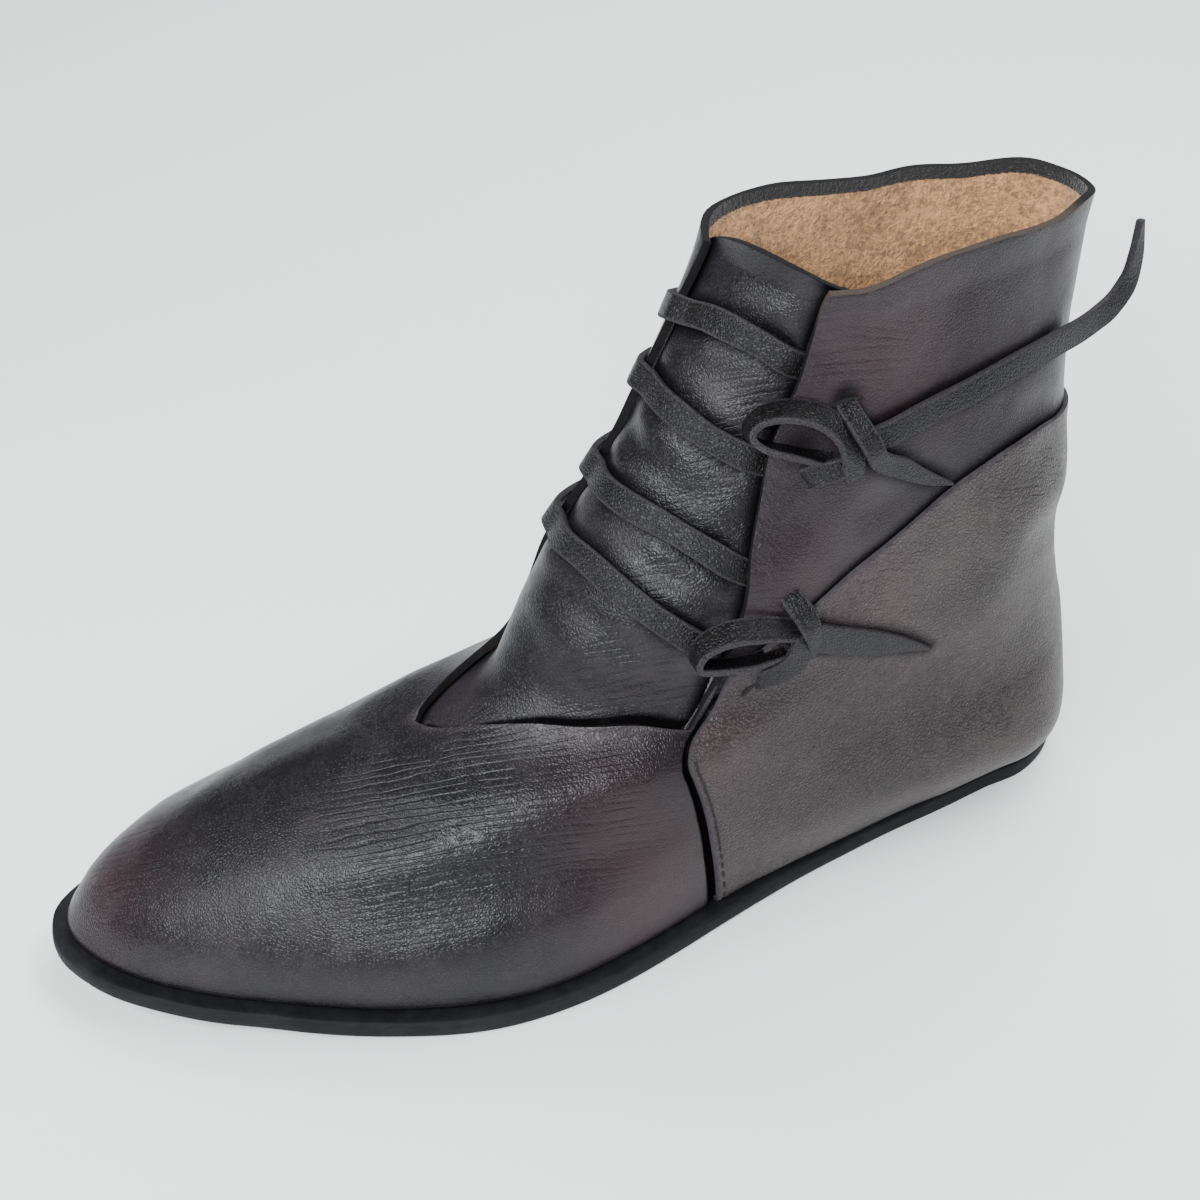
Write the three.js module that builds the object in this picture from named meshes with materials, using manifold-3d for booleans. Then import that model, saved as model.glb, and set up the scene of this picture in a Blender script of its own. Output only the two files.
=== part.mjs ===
// Thong-tied ankle boot for the left foot, standing empty on its flat sole.
// Millimetres, +Z up. The heel points to +Y, the toe to -Y and the outer side of the foot to +X.
import * as THREE from 'three';
import Module from 'manifold-3d';

const wasm = await Module();
wasm.setup();

// Sizes of the last and of the leathers
const LENGTH = 285;
const BALL_WIDTH = 100;
const HEIGHT = 168;
const TOE_SPRING = 6.2;
const TOE_SWING = 24;
const INSTEP_SHIFT = 2;
const SOLE = 5;
const SOLE_BEVEL = 0.8;
const LEDGE_TOE = 3;
const LEDGE_HEEL = 1.6;
const INSOLE = 2;
const INSOLE_BEVEL = 0.4;
const INSOLE_ROOM = 1.6;
const WALL = 2;
const TONGUE = 1.8;
const QUARTER = 1.8;
const QUARTER_PROUD = 0.4;
const FLAP_LIFT = 1.6;
const THONG_WIDTH = 6.5;
const THONG = 1.8;
const SLIT_ROOM = 0.8;
const GAP = 0.3;
const FEATHER = SOLE + GAP;

// Numbers of facets
const AROUND = 52;
const UP = 20;

// Numbers in a table go by the names in its first argument
function table(names, ...lines) {
  return lines.map((line) => Object.fromEntries(names.split(' ').map((name, i) => [name, line[i]])));
}

// Rings of the last from the feather line to the collar. Y is a share of LENGTH, Z of the height above
// the feather line, and the round of each end a share of LENGTH. at is the ring's place up the last.
const RINGS = table('at frontY frontZ backY backZ frontRound backRound',
  [0.000, -0.500, 0.038, 0.500, 0.000, 0.412, 0.095],
  [0.054, -0.473, 0.102, 0.499, 0.103, 0.379, 0.133],
  [0.170, -0.390, 0.199, 0.495, 0.222, 0.418, 0.132],
  [0.340, -0.256, 0.296, 0.479, 0.339, 0.344, 0.142],
  [0.506, -0.123, 0.385, 0.464, 0.452, 0.330, 0.144],
  [0.633, -0.060, 0.541, 0.463, 0.578, 0.191, 0.126],
  [0.761, 0.004, 0.697, 0.457, 0.717, 0.215, 0.157],
  [0.891, 0.061, 0.863, 0.462, 0.854, 0.192, 0.183],
  [1.000, 0.111, 1.000, 0.469, 1.000, 0.081, 0.147]);

// Half widths as shares of BALL_WIDTH, at heights that are shares of HEIGHT
const STATIONS = { toe: -0.372, ball: -0.179, waist: 0.084, heel: 0.382 };
const OUTER_SIDE = table('z toe ball waist heel',
  [0.030, 0.450, 0.504, 0.364, 0.273],
  [0.120, 0.490, 0.511, 0.386, 0.382],
  [0.268, 0.442, 0.436, 0.370, 0.311],
  [0.476, 0.377, 0.382, 0.346, 0.321],
  [0.714, 0.320, 0.321, 0.316, 0.285],
  [0.952, 0.310, 0.313, 0.292, 0.199]);
const INNER_SIDE = table('z toe ball waist heel',
  [0.030, 0.430, 0.458, 0.305, 0.289],
  [0.120, 0.486, 0.486, 0.348, 0.368],
  [0.268, 0.446, 0.410, 0.345, 0.327],
  [0.476, 0.375, 0.382, 0.333, 0.315],
  [0.714, 0.319, 0.325, 0.311, 0.294],
  [0.952, 0.310, 0.305, 0.313, 0.251]);

// Edges drawn on the last: u goes round it from the back over the outer side, and v up it
const THROAT = {
  near: table('u v', [0.320, 0.454], [0.324, 0.500], [0.329, 0.560], [0.335, 0.640], [0.346, 0.705],
    [0.355, 0.768], [0.363, 0.819], [0.367, 0.909], [0.379, 0.960], [0.389, 0.991], [0.392, 1.040]),
  far: table('u v', [0.510, 0.433], [0.527, 0.440], [0.546, 0.452], [0.571, 0.468], [0.590, 0.484],
    [0.600, 0.550], [0.592, 0.650], [0.580, 0.770], [0.560, 0.880], [0.540, 1.000], [0.538, 1.040]),
  low: table('u v', [0.320, 0.454], [0.359, 0.489], [0.391, 0.494], [0.426, 0.495], [0.460, 0.477],
    [0.492, 0.443], [0.510, 0.433]),
  high: table('u v', [0.392, 1.040], [0.538, 1.040]),
};
const HEEL_QUARTER = {
  near: table('u v', [0.230, -0.040], [0.241, 0.053], [0.254, 0.144], [0.269, 0.231], [0.280, 0.285],
    [0.297, 0.358], [0.311, 0.430], [0.316, 0.500], [0.322, 0.545]),
  far: table('u v', [-0.200, -0.040], [-0.215, 0.100], [-0.230, 0.250], [-0.240, 0.400], [-0.240, 0.530]),
  low: table('u v', [0.230, -0.040], [-0.200, -0.040]),
  high: table('u v', [0.322, 0.545], [0.300, 0.600], [0.276, 0.636], [0.254, 0.662], [0.229, 0.689],
    [0.205, 0.714], [0.176, 0.733], [0.132, 0.737], [0.096, 0.728], [0.030, 0.715], [-0.040, 0.700],
    [-0.120, 0.665], [-0.180, 0.610], [-0.240, 0.530]),
};
const TONGUE_EDGES = {
  near: table('u v', [0.335, 0.380], [0.320, 0.480], [0.314, 0.540], [0.311, 0.600], [0.308, 0.680],
    [0.305, 0.780], [0.332, 0.900], [0.358, 0.992]),
  far: table('u v', [0.560, 0.380], [0.600, 0.450], [0.616, 0.550], [0.608, 0.650], [0.598, 0.770],
    [0.580, 0.880], [0.562, 0.992]),
  low: table('u v', [0.335, 0.380], [0.560, 0.380]),
  high: table('u v', [0.358, 0.992], [0.562, 0.992]),
};

// The four bars of the thongs over the tongue, each from the near flap to its slit in the far flap
const BARS = {
  upper_thong_bar_1: table('u v', [0.373, 0.917], [0.419, 0.940], [0.475, 0.948], [0.540, 0.931],
    [0.612, 0.902]),
  upper_thong_bar_2: table('u v', [0.369, 0.812], [0.409, 0.833], [0.464, 0.854], [0.518, 0.860],
    [0.612, 0.835]),
  lower_thong_bar_1: table('u v', [0.351, 0.690], [0.380, 0.716], [0.418, 0.740], [0.469, 0.753],
    [0.535, 0.751], [0.632, 0.718]),
  lower_thong_bar_2: table('u v', [0.340, 0.586], [0.358, 0.607], [0.381, 0.631], [0.417, 0.660],
    [0.473, 0.685], [0.536, 0.679], [0.632, 0.645]),
};
// Where a bar turns in at its slit: how far past the end of its table, and how far under the flap's face
const TURN_IN = table('u drop', [0.006, 0.8], [0.009, 2.6], [0.010, 5.5]);

// Slits of the near flap, each as long as the thong is wide and turned by lean from upright, in degrees
const SLITS = table('u v lean', [0.321, 0.873, 60], [0.330, 0.786, 0], [0.311, 0.643, 40],
  [0.300, 0.522, 10]);

// The half-bow knots: a lump, the thong that comes to it from each slit, a loop on edge and the flat ends.
// off is the height of the thong's middle over the last.
const UPPER_KNOT = {
  lump: { u: 0.291, v: 0.815, off: 5.6, along: 6.5, up: 7, out: 3.3 },
  risers: [
    table('u v off', [0.322, 0.875, 3.2], [0.311, 0.856, 3.6], [0.297, 0.830, 5.2]),
    table('u v off', [0.331, 0.788, 3.2], [0.313, 0.793, 3.4], [0.296, 0.800, 5.0])],
  loop: table('u v off', [0.296, 0.822, 5.6], [0.318, 0.842, 5.6], [0.333, 0.858, 5.6], [0.353, 0.871, 5.6],
    [0.376, 0.873, 5.6], [0.389, 0.858, 5.6], [0.386, 0.844, 5.6], [0.370, 0.834, 5.6], [0.353, 0.828, 5.6],
    [0.335, 0.820, 5.6], [0.316, 0.812, 5.6], [0.296, 0.806, 5.6]),
};
const LOWER_KNOT = {
  lump: { u: 0.290, v: 0.590, off: 5.6, along: 6, up: 7, out: 3.3 },
  risers: [
    table('u v off', [0.313, 0.645, 3.2], [0.304, 0.628, 3.6], [0.295, 0.608, 5.0]),
    table('u v off', [0.300, 0.524, 3.2], [0.291, 0.536, 3.6], [0.286, 0.560, 5.0])],
  loop: table('u v off', [0.294, 0.602, 5.6], [0.311, 0.614, 5.6], [0.328, 0.622, 5.6], [0.342, 0.620, 5.6],
    [0.352, 0.610, 5.6], [0.352, 0.592, 5.6], [0.337, 0.586, 5.6], [0.321, 0.582, 5.6], [0.296, 0.580, 5.6]),
};
const UPPER_SHORT_END = table('u v off width', [0.288, 0.800, 5.2, 1], [0.267, 0.775, 3.0, 1],
  [0.250, 0.760, 2.2, 0.9], [0.236, 0.745, 2.0, 0.7], [0.222, 0.732, 1.9, 0.4], [0.211, 0.722, 1.8, 0.15]);
const LOWER_END = table('u v off width', [0.286, 0.582, 5.2, 1], [0.268, 0.553, 3.6, 1],
  [0.250, 0.528, 2.9, 1], [0.224, 0.491, 2.1, 0.9], [0.207, 0.461, 1.8, 0.55], [0.193, 0.434, 1.8, 0.15]);
const UPPER_LONG_END = table('u v off', [0.288, 0.822, 5.2], [0.263, 0.836, 3.0], [0.242, 0.841, 1.9],
  [0.221, 0.843, 1.7], [0.198, 0.847, 1.7], [0.175, 0.852, 1.7], [0.155, 0.852, 1.7], [0.139, 0.851, 1.7],
  [0.118, 0.850, 2.0]);
// The rest of the long end stands free behind the boot
const UPPER_LONG_END_FREE = table('x y z width', [15.6, 129.4, 137.2, 1], [13.6, 137.2, 139.3, 1],
  [12.4, 141.9, 143.5, 0.95], [11.4, 143.4, 151.0, 0.8], [10.6, 143.6, 158.0, 0.4]);

const clamp01 = (x) => Math.min(Math.max(x, 0), 1);

// Smooth step from 0 at a to 1 at b
function ramp(a, b, x) {
  const t = clamp01((x - a) / (b - a));
  return t * t * (3 - 2 * t);
}

// Smooth curve through the values ys at the places xs
function smooth(xs, ys, x) {
  const end = xs.length - 1;
  const at = Math.min(Math.max(x, xs[0]), xs[end]);
  let i = 0;
  while (i < end - 1 && at > xs[i + 1]) i += 1;
  const slope = (k) => (ys[k + 1] - ys[k]) / (xs[k + 1] - xs[k]);
  const tangent = (k) => {
    if (k === 0) return slope(0);
    if (k === end) return slope(end - 1);
    const before = xs[k] - xs[k - 1];
    const after = xs[k + 1] - xs[k];
    return (after * slope(k - 1) + before * slope(k)) / (before + after);
  };
  const h = xs[i + 1] - xs[i];
  const t = (at - xs[i]) / h;
  return ys[i] * (1 + 2 * t) * (1 - t) ** 2 + h * tangent(i) * t * (1 - t) ** 2
    + ys[i + 1] * t * t * (3 - 2 * t) + h * tangent(i + 1) * t * t * (t - 1);
}

// The columns of a table, each as a smooth function of how far along the table one is, from 0 to 1
function curveOf(rows, measure = Object.keys(rows[0])) {
  const steps = [0];
  for (let i = 1; i < rows.length; i += 1) {
    const step = Math.hypot(...measure.map((name) => rows[i][name] - rows[i - 1][name]));
    steps.push(steps[i - 1] + step);
  }
  const places = steps.map((s) => s / steps.at(-1));
  return (t) => {
    const row = {};
    for (const name of Object.keys(rows[0])) row[name] = smooth(places, rows.map((r) => r[name]), t);
    return row;
  };
}

const column = (rows, name) => rows.map((row) => row[name]);
const ringAt = (v, name) => smooth(column(RINGS, 'at'), column(RINGS, name), v);

function halfWidth(side, y, z) {
  const ys = Object.values(STATIONS).map((share) => share * LENGTH);
  const across = side.map((row) => smooth(ys, [row.toe, row.ball, row.waist, row.heel], y) * BALL_WIDTH);
  return smooth(side.map((row) => row.z * HEIGHT), across, z);
}

const fromHeel = (y) => 0.5 - y / LENGTH;
const springAt = (y) => TOE_SPRING * clamp01((fromHeel(y) - 0.686) / 0.314) ** 2;

// The toe swings to the inner side, and the instep and shaft stand a little to the outer side
function middle(y, z) {
  const swing = TOE_SWING * clamp01((fromHeel(y) - 0.486) / 0.514) ** 1.6;
  return INSTEP_SHIFT * clamp01((z - 20) / 40) * clamp01((fromHeel(y) - 0.336) / 0.2) - swing;
}

// A point of the last. Past either end of v the wall goes on straight up or down.
function last(u, v) {
  const w = clamp01(v);
  const angle = 2 * Math.PI * u;
  const s = 0.5 - 0.5 * Math.cos(angle);
  const rise = HEIGHT - FEATHER;
  const between = (a, b) => a + (b - a) * s;
  const frontY = ringAt(w, 'frontY') * LENGTH;
  const backY = ringAt(w, 'backY') * LENGTH;
  const y = between(backY, frontY);
  const flat = between(RINGS[0].backZ, RINGS[0].frontZ) * rise;
  const lowest = springAt(between(RINGS[0].backY, RINGS[0].frontY) * LENGTH);
  const settle = (lowest - flat) * clamp01(1 - w / 0.25) ** 2;
  const z = FEATHER + between(ringAt(w, 'backZ'), ringAt(w, 'frontZ')) * rise + settle;
  const long = backY - frontY;
  const backPart = clamp01(s * long / (ringAt(w, 'backRound') * LENGTH));
  const frontPart = clamp01((1 - s) * long / (ringAt(w, 'frontRound') * LENGTH));
  const round = Math.sqrt(1 - (1 - backPart) ** 2) * Math.sqrt(1 - (1 - frontPart) ** 2);
  const side = Math.sin(angle) >= 0 ? 1 : -1;
  const half = halfWidth(side > 0 ? OUTER_SIDE : INNER_SIDE, y, z);
  return new THREE.Vector3(middle(y, z) + side * half * round, y, z + (v - w) * HEIGHT);
}

// The last's outward direction, which is level at the feather line so that the upper's foot is cut flat
function outward(u, v) {
  const du = 0.004;
  const dv = 0.006;
  const around = last(u + du, v).sub(last(u - du, v));
  const up = v > 0 ? last(u, v + dv).sub(last(u, v - dv)) : new THREE.Vector3(0, 0, 1);
  return up.cross(around).normalize();
}

const place = (u, v, off) => last(u, v).addScaledVector(outward(u, v), off);

// A solid from points and faces, where a face with four corners is two triangles
function solid(points, faces) {
  const triangles = faces.flatMap((f) => (f.length === 3 ? f : [f[0], f[1], f[2], f[0], f[2], f[3]]));
  return new wasm.Manifold(new wasm.Mesh({
    numProp: 3,
    vertProperties: new Float32Array(points.flatMap((p) => [p.x, p.y, p.z])),
    triVerts: new Uint32Array(triangles),
  }));
}

// Rings of equally many points, joined in a tube. The tube is closed on itself, or by a point at each end.
// One closed on itself goes up outside and comes back inside, and both walls split their faces alike.
function tube(rings, closedOnItself = false) {
  const n = rings[0].length;
  const points = rings.flat();
  const faces = [];
  const bands = closedOnItself ? rings.length : rings.length - 1;
  for (let j = 0; j < bands; j += 1) {
    const low = j * n;
    const high = ((j + 1) % rings.length) * n;
    const coming = closedOnItself && j >= rings.length / 2;
    for (let i = 0; i < n; i += 1) {
      const k = (i + 1) % n;
      const face = [low + i, low + k, high + k, high + i];
      faces.push(coming ? [...face.slice(1), face[0]] : face);
    }
  }
  if (!closedOnItself) {
    for (const [ring, first, turned] of [[rings[0], 0, true], [rings.at(-1), points.length - n, false]]) {
      const pole = points.length;
      const centre = ring.reduce((sum, p) => sum.add(p), new THREE.Vector3()).divideScalar(n);
      points.push(centre);
      for (let i = 0; i < n; i += 1) {
        const k = (i + 1) % n;
        faces.push(turned ? [first + k, first + i, pole] : [first + i, first + k, pole]);
      }
    }
  }
  return solid(points, faces);
}

// A wall all round the last between two offsets, from v = 0 to v = top
function wallRound(outer, inner, top, bands) {
  const ring = (v, offset) => Array.from({ length: AROUND }, (_, i) => {
    const u = i / AROUND;
    return place(u, v, offset(u, v));
  });
  const heights = Array.from({ length: bands + 1 }, (_, j) => (top * j) / bands);
  const rings = heights.map((v) => ring(v, outer));
  for (const v of heights.toReversed()) rings.push(ring(v, inner));
  return tube(rings.map((points) => points.toReversed()), true);
}

// A four-sided piece of the last between two offsets, inside the edges near, far, low and high
function panel(edges, outer, inner, columns, bands) {
  const near = curveOf(edges.near);
  const far = curveOf(edges.far);
  const low = curveOf(edges.low);
  const high = curveOf(edges.high);
  const mix = (name, a, t) => {
    const sides = near(t)[name] * (1 - a) + far(t)[name] * a;
    const ends = low(a)[name] * (1 - t) + high(a)[name] * t;
    const corners = (near(0)[name] * (1 - a) + far(0)[name] * a) * (1 - t)
      + (near(1)[name] * (1 - a) + far(1)[name] * a) * t;
    return sides + ends - corners;
  };
  const rings = [];
  for (let j = 0; j <= bands; j += 1) {
    const places = Array.from({ length: columns + 1 }, (_, i) => {
      const a = i / columns;
      const t = j / bands;
      return { u: mix('u', a, t), v: mix('v', a, t) };
    });
    const outside = places.map(({ u, v }) => place(u, v, outer(u, v)));
    const inside = places.map(({ u, v }) => place(u, v, inner(u, v)));
    rings.push([...outside, ...inside.reverse()]);
  }
  const n = 2 * (columns + 1);
  const points = rings.flat();
  const faces = [];
  const direction = edges.near[0].u < edges.far[0].u ? -1 : 1;
  const add = (...corners) => faces.push(direction > 0 ? corners : corners.reverse());
  for (let j = 0; j < bands; j += 1) {
    for (let i = 0; i < n; i += 1) {
      const k = (i + 1) % n;
      add(j * n + i, j * n + k, (j + 1) * n + k, (j + 1) * n + i);
    }
  }
  const top = bands * n;
  for (let i = 0; i < columns; i += 1) {
    add(n - 1 - i, n - 2 - i, i + 1, i);
    add(top + i, top + i + 1, top + n - 2 - i, top + n - 1 - i);
  }
  return solid(points, faces);
}

// A flat strap along points that each hold a place, a face direction and a share of the width.
// turned is a strap on edge, whose width stands out from the surface.
function strap(path, width, thickness, turned = false) {
  const sections = path.map((here, i) => {
    const before = path[Math.max(i - 1, 0)].at;
    const after = path[Math.min(i + 1, path.length - 1)].at;
    const along = after.clone().sub(before).normalize();
    const across = here.across ? here.across.clone() : here.face.clone().cross(along).normalize();
    const face = along.clone().cross(across).normalize();
    const [wide, thin] = turned ? [face, across] : [across, face];
    const w = (width * (here.share ?? 1)) / 2;
    const t = thickness / 2;
    const corner = (a, b) => here.at.clone().addScaledVector(wide, a).addScaledVector(thin, b);
    return [corner(-w, -t), corner(w, -t), corner(w, t), corner(-w, t)];
  });
  return tube(turned ? sections.map((s) => s.toReversed()) : sections);
}

// Points along a table of places on the last
function route(rows, steps) {
  const at = curveOf(rows, ['u', 'v']);
  return Array.from({ length: steps + 1 }, (_, i) => {
    const { u, v, off, width } = at(i / steps);
    return { at: place(u, v, off), face: outward(u, v), share: width };
  });
}

const edgeU = (rows, v) => smooth(column(rows, 'v'), column(rows, 'u'), v);
const roundFromBack = (u) => (u > 0.5 ? u - 1 : u);

// 1 where the heel quarter lies on the upper, 0 a little outside its edges
function underQuarter(u, v) {
  const around = roundFromBack(u);
  const edge = HEEL_QUARTER.high.toReversed();
  const top = smooth(column(edge, 'u'), column(edge, 'v'), around);
  const outerSeam = edgeU(HEEL_QUARTER.near, v);
  const innerSeam = edgeU(HEEL_QUARTER.far, v);
  return (1 - ramp(outerSeam, outerSeam + 0.02, around)) * ramp(innerSeam - 0.02, innerSeam, around)
    * (1 - ramp(top, top + 0.04, v));
}

// How far the flaps stand out where they lap the tongue
function flapOff(u, v) {
  const near = edgeU(THROAT.near, v);
  const far = edgeU(THROAT.far, v);
  const flaps = u < 0.5 ? ramp(near - 0.13, near - 0.055, u) : 1 - ramp(far + 0.055, far + 0.13, u);
  return FLAP_LIFT * flaps * ramp(0.48, 0.56, v);
}

// The upper dips under the heel quarter by what the quarter needs
const quarterDip = (u, v) => (QUARTER - QUARTER_PROUD + GAP) * underQuarter(u, v);
const upperOff = (u, v) => flapOff(u, v) - quarterDip(u, v);
const quarterOuter = (u, v) => flapOff(u, v) + QUARTER_PROUD;
const quarterInner = (u, v) => Math.min(upperOff(u, v) + GAP, quarterOuter(u, v) - GAP);

// The tongue comes from under the vamp and then lies just under the flaps
function tongueOff(u, v) {
  const flat = FLAP_LIFT - WALL - 1.7 * GAP;
  const tucked = -WALL - 2 * GAP;
  return tucked + (flat - tucked) * ramp(0.54, 0.62, v) - quarterDip(u, v);
}

// A plate under the foot: its outline stands at the foot of the plate and follows the toe spring
function plate(outline, foot, thickness, bevel) {
  const centre = new THREE.Vector3(0, LENGTH * 0.1, 0);
  const ring = (share, inset, height) => outline.map((p) => {
    const arm = new THREE.Vector3(p.x, p.y, 0).sub(centre);
    const q = arm.clone().multiplyScalar(share).addScaledVector(arm.normalize(), -inset).add(centre);
    return q.setZ(foot + height + springAt(q.y));
  });
  const shares = [0.45, 0.8];
  const rings = [...shares.map((share) => ring(share, 0, 0)), ring(1, bevel, 0), ring(1, 0, bevel),
    ring(1, 0, thickness - bevel), ring(1, bevel, thickness),
    ...shares.toReversed().map((share) => ring(share, 0, thickness))];
  return tube(rings.map((points) => points.toReversed()));
}

function makeSole() {
  const edge = Array.from({ length: AROUND }, (_, i) => last(i / AROUND, 0));
  const outline = edge.map((p, i) => {
    const along = edge[(i + 1) % AROUND].clone().sub(edge[(i + AROUND - 1) % AROUND]);
    const out = new THREE.Vector3(-along.y, along.x, 0).normalize();
    const ledge = LEDGE_HEEL + (LEDGE_TOE - LEDGE_HEEL) * ramp(0.25, 0.5, fromHeel(p.y));
    return p.clone().addScaledVector(out, ledge);
  });
  return plate(outline, 0, SOLE, SOLE_BEVEL);
}

function makeInsole() {
  const outline = Array.from({ length: AROUND }, (_, i) => {
    const u = i / AROUND;
    return place(u, 0, upperOff(u, 0) - WALL - INSOLE_ROOM);
  });
  return plate(outline, FEATHER + GAP / 2, INSOLE, INSOLE_BEVEL);
}

// A bar lies on the tongue, climbs onto the far flap and turns in through its slit
function barPath(rows) {
  const at = curveOf(rows);
  const onTongue = FLAP_LIFT - WALL + THONG / 2 + GAP / 3;
  const onFlap = FLAP_LIFT + THONG / 2 + 2 * GAP;
  const steps = 10;
  const path = Array.from({ length: steps + 1 }, (_, i) => {
    const { u, v } = at(i / steps);
    const far = edgeU(THROAT.far, v);
    return { u, v, off: onTongue + (onFlap - onTongue) * ramp(far - 0.04, far - 0.012, u) };
  });
  const end = path.at(-1);
  for (const { u, drop } of TURN_IN) path.push({ u: end.u + u, v: end.v, off: onFlap - drop });
  return path.map(({ u, v, off }, i) => {
    const next = path[Math.min(i + 1, path.length - 1)];
    const back = path[Math.max(i - 1, 0)];
    const onLast = place(next.u, next.v, 0).sub(place(back.u, back.v, 0));
    const face = outward(u, v);
    return { at: place(u, v, off), face, across: face.clone().cross(onLast).normalize() };
  });
}

// A cut through the wall for a thong
function slitCut({ u, v, lean }) {
  const out = outward(u, v);
  const up = place(u, v + 0.02, 0).sub(place(u, v - 0.02, 0)).normalize();
  const across = up.applyAxisAngle(out, THREE.MathUtils.degToRad(lean));
  const path = [-6, 6].map((off) => ({ at: place(u, v, off), face: across.clone().cross(out), across }));
  return strap(path, THONG_WIDTH, SLIT_ROOM);
}

function roundLump({ u, v, off, along, up, out }, grow = 0) {
  const face = outward(u, v);
  const rise = place(u, v + 0.02, 0).sub(place(u, v - 0.02, 0)).normalize();
  const round = rise.clone().cross(face).normalize();
  const turn = new THREE.Matrix4().makeBasis(round, rise, face);
  const rings = [];
  for (let j = 1; j < 8; j += 1) {
    const tilt = (Math.PI * j) / 8;
    rings.push(Array.from({ length: 12 }, (_, i) => {
      const angle = (2 * Math.PI * i) / 12;
      const p = new THREE.Vector3((along + grow) * Math.sin(tilt) * Math.cos(angle),
        (up + grow) * Math.sin(tilt) * Math.sin(angle), -(out + grow) * Math.cos(tilt));
      return p.applyMatrix4(turn).add(place(u, v, off));
    }));
  }
  return tube(rings);
}

const throatCut = panel(THROAT, () => 8, () => -6, 8, 16);
const quarterCut = panel(HEEL_QUARTER, () => 6, () => -6, 20, 8);
const barPaths = Object.fromEntries(Object.entries(BARS).map(([name, rows]) => [name, barPath(rows)]));

function makeUpper() {
  const wall = wallRound(upperOff, (u, v) => upperOff(u, v) - WALL, 1, UP);
  const farSlits = Object.values(barPaths).map((path) => (
    strap(path.slice(-4), THONG_WIDTH + SLIT_ROOM, THONG + SLIT_ROOM)));
  return [throatCut, ...farSlits, ...SLITS.map(slitCut)].reduce((rest, cut) => rest.subtract(cut), wall);
}

function makeHeelQuarter() {
  const top = 0.8;
  return wallRound(quarterOuter, quarterInner, top, UP * top).intersect(quarterCut);
}

const makeTongue = () => panel(TONGUE_EDGES, tongueOff, (u, v) => tongueOff(u, v) - TONGUE, 10, 14);

// The lump, what comes to it from the slits and the loop are one thong
function makeBow({ lump, risers, loop }) {
  const straps = risers.map((rows) => strap(route(rows, 3), THONG_WIDTH, THONG));
  straps.push(strap(route(loop, 16), THONG_WIDTH, THONG, true));
  return straps.reduce((bow, piece) => bow.add(piece), roundLump(lump));
}

function longEndPath() {
  const lying = route(UPPER_LONG_END, 12);
  const { face } = lying.at(-1);
  const free = UPPER_LONG_END_FREE.map(({ x, y, z, width }) => (
    { at: new THREE.Vector3(x, y, z), face, share: width }));
  return [...lying, ...free];
}

// An end begins just outside its knot
const makeEnd = (path, knot) => strap(path, THONG_WIDTH, THONG).subtract(roundLump(knot.lump, GAP));

const upperLeather = new THREE.MeshStandardMaterial({ color: 0x3b3337, roughness: 0.5, metalness: 0 });
const quarterLeather = new THREE.MeshStandardMaterial({ color: 0x4a4144, roughness: 0.55, metalness: 0 });
const tongueLeather = new THREE.MeshStandardMaterial({ color: 0x2c282b, roughness: 0.5, metalness: 0 });
const thongLeather = new THREE.MeshStandardMaterial({ color: 0x29262a, roughness: 0.55, metalness: 0 });
const soleRubber = new THREE.MeshStandardMaterial({ color: 0x2b2b2e, roughness: 0.85, metalness: 0 });
const insoleLeather = new THREE.MeshStandardMaterial({ color: 0xa9825c, roughness: 0.95, metalness: 0 });

// The origin is on the floor, under the middle of the sole
const sole = makeSole();
const { min, max } = sole.boundingBox();
const toOrigin = [-(min[0] + max[0]) / 2, -(min[1] + max[1]) / 2, 0];

const boot = new THREE.Group();

function addPiece(name, piece, material) {
  const { vertProperties, triVerts } = piece.translate(toOrigin).getMesh();
  const geometry = new THREE.BufferGeometry();
  geometry.setAttribute('position', new THREE.BufferAttribute(new Float32Array(vertProperties), 3));
  geometry.setIndex([...triVerts]);
  geometry.computeVertexNormals();
  const mesh = new THREE.Mesh(geometry, material);
  mesh.name = name;
  boot.add(mesh);
}

addPiece('sole', sole, soleRubber);
addPiece('insole', makeInsole(), insoleLeather);
addPiece('upper', makeUpper(), upperLeather);
addPiece('heel_quarter', makeHeelQuarter(), quarterLeather);
addPiece('tongue', makeTongue(), tongueLeather);
for (const [name, path] of Object.entries(barPaths)) {
  addPiece(name, strap(path, THONG_WIDTH, THONG), thongLeather);
}
addPiece('upper_thong_bow', makeBow(UPPER_KNOT), thongLeather);
addPiece('upper_thong_short_end', makeEnd(route(UPPER_SHORT_END, 8), UPPER_KNOT), thongLeather);
addPiece('upper_thong_long_end', makeEnd(longEndPath(), UPPER_KNOT), thongLeather);
addPiece('lower_thong_bow', makeBow(LOWER_KNOT), thongLeather);
addPiece('lower_thong_end', makeEnd(route(LOWER_END, 8), LOWER_KNOT), thongLeather);

export default boot;
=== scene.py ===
"""Thong-tied ankle boot for the left foot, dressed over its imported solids.

Every leather piece is worked out on one last: a smooth surface with u going round it from the back over
the outer side, and v going up it from the feather line to the collar. Lengths are worked out in
millimetres and put into the meshes in metres.
"""
import math

import bpy
import numpy as np
from mathutils import Matrix


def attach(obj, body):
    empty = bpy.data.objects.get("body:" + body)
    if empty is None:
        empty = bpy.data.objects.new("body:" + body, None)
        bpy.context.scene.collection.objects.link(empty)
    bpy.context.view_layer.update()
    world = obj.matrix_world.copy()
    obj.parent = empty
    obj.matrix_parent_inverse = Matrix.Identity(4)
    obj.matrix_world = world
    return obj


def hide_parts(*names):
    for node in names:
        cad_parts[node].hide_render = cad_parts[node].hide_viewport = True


bl_info = {
    "name": "Thong-tied ankle boot",
    "version": (1, 0, 0),
    "blender": (4, 5, 0),
    "location": "View3D > Sidebar > Boot",
    "description": "Makes a leather ankle boot with a tongue, a heel quarter and two tied thongs",
    "category": "Add Mesh",
}

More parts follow.
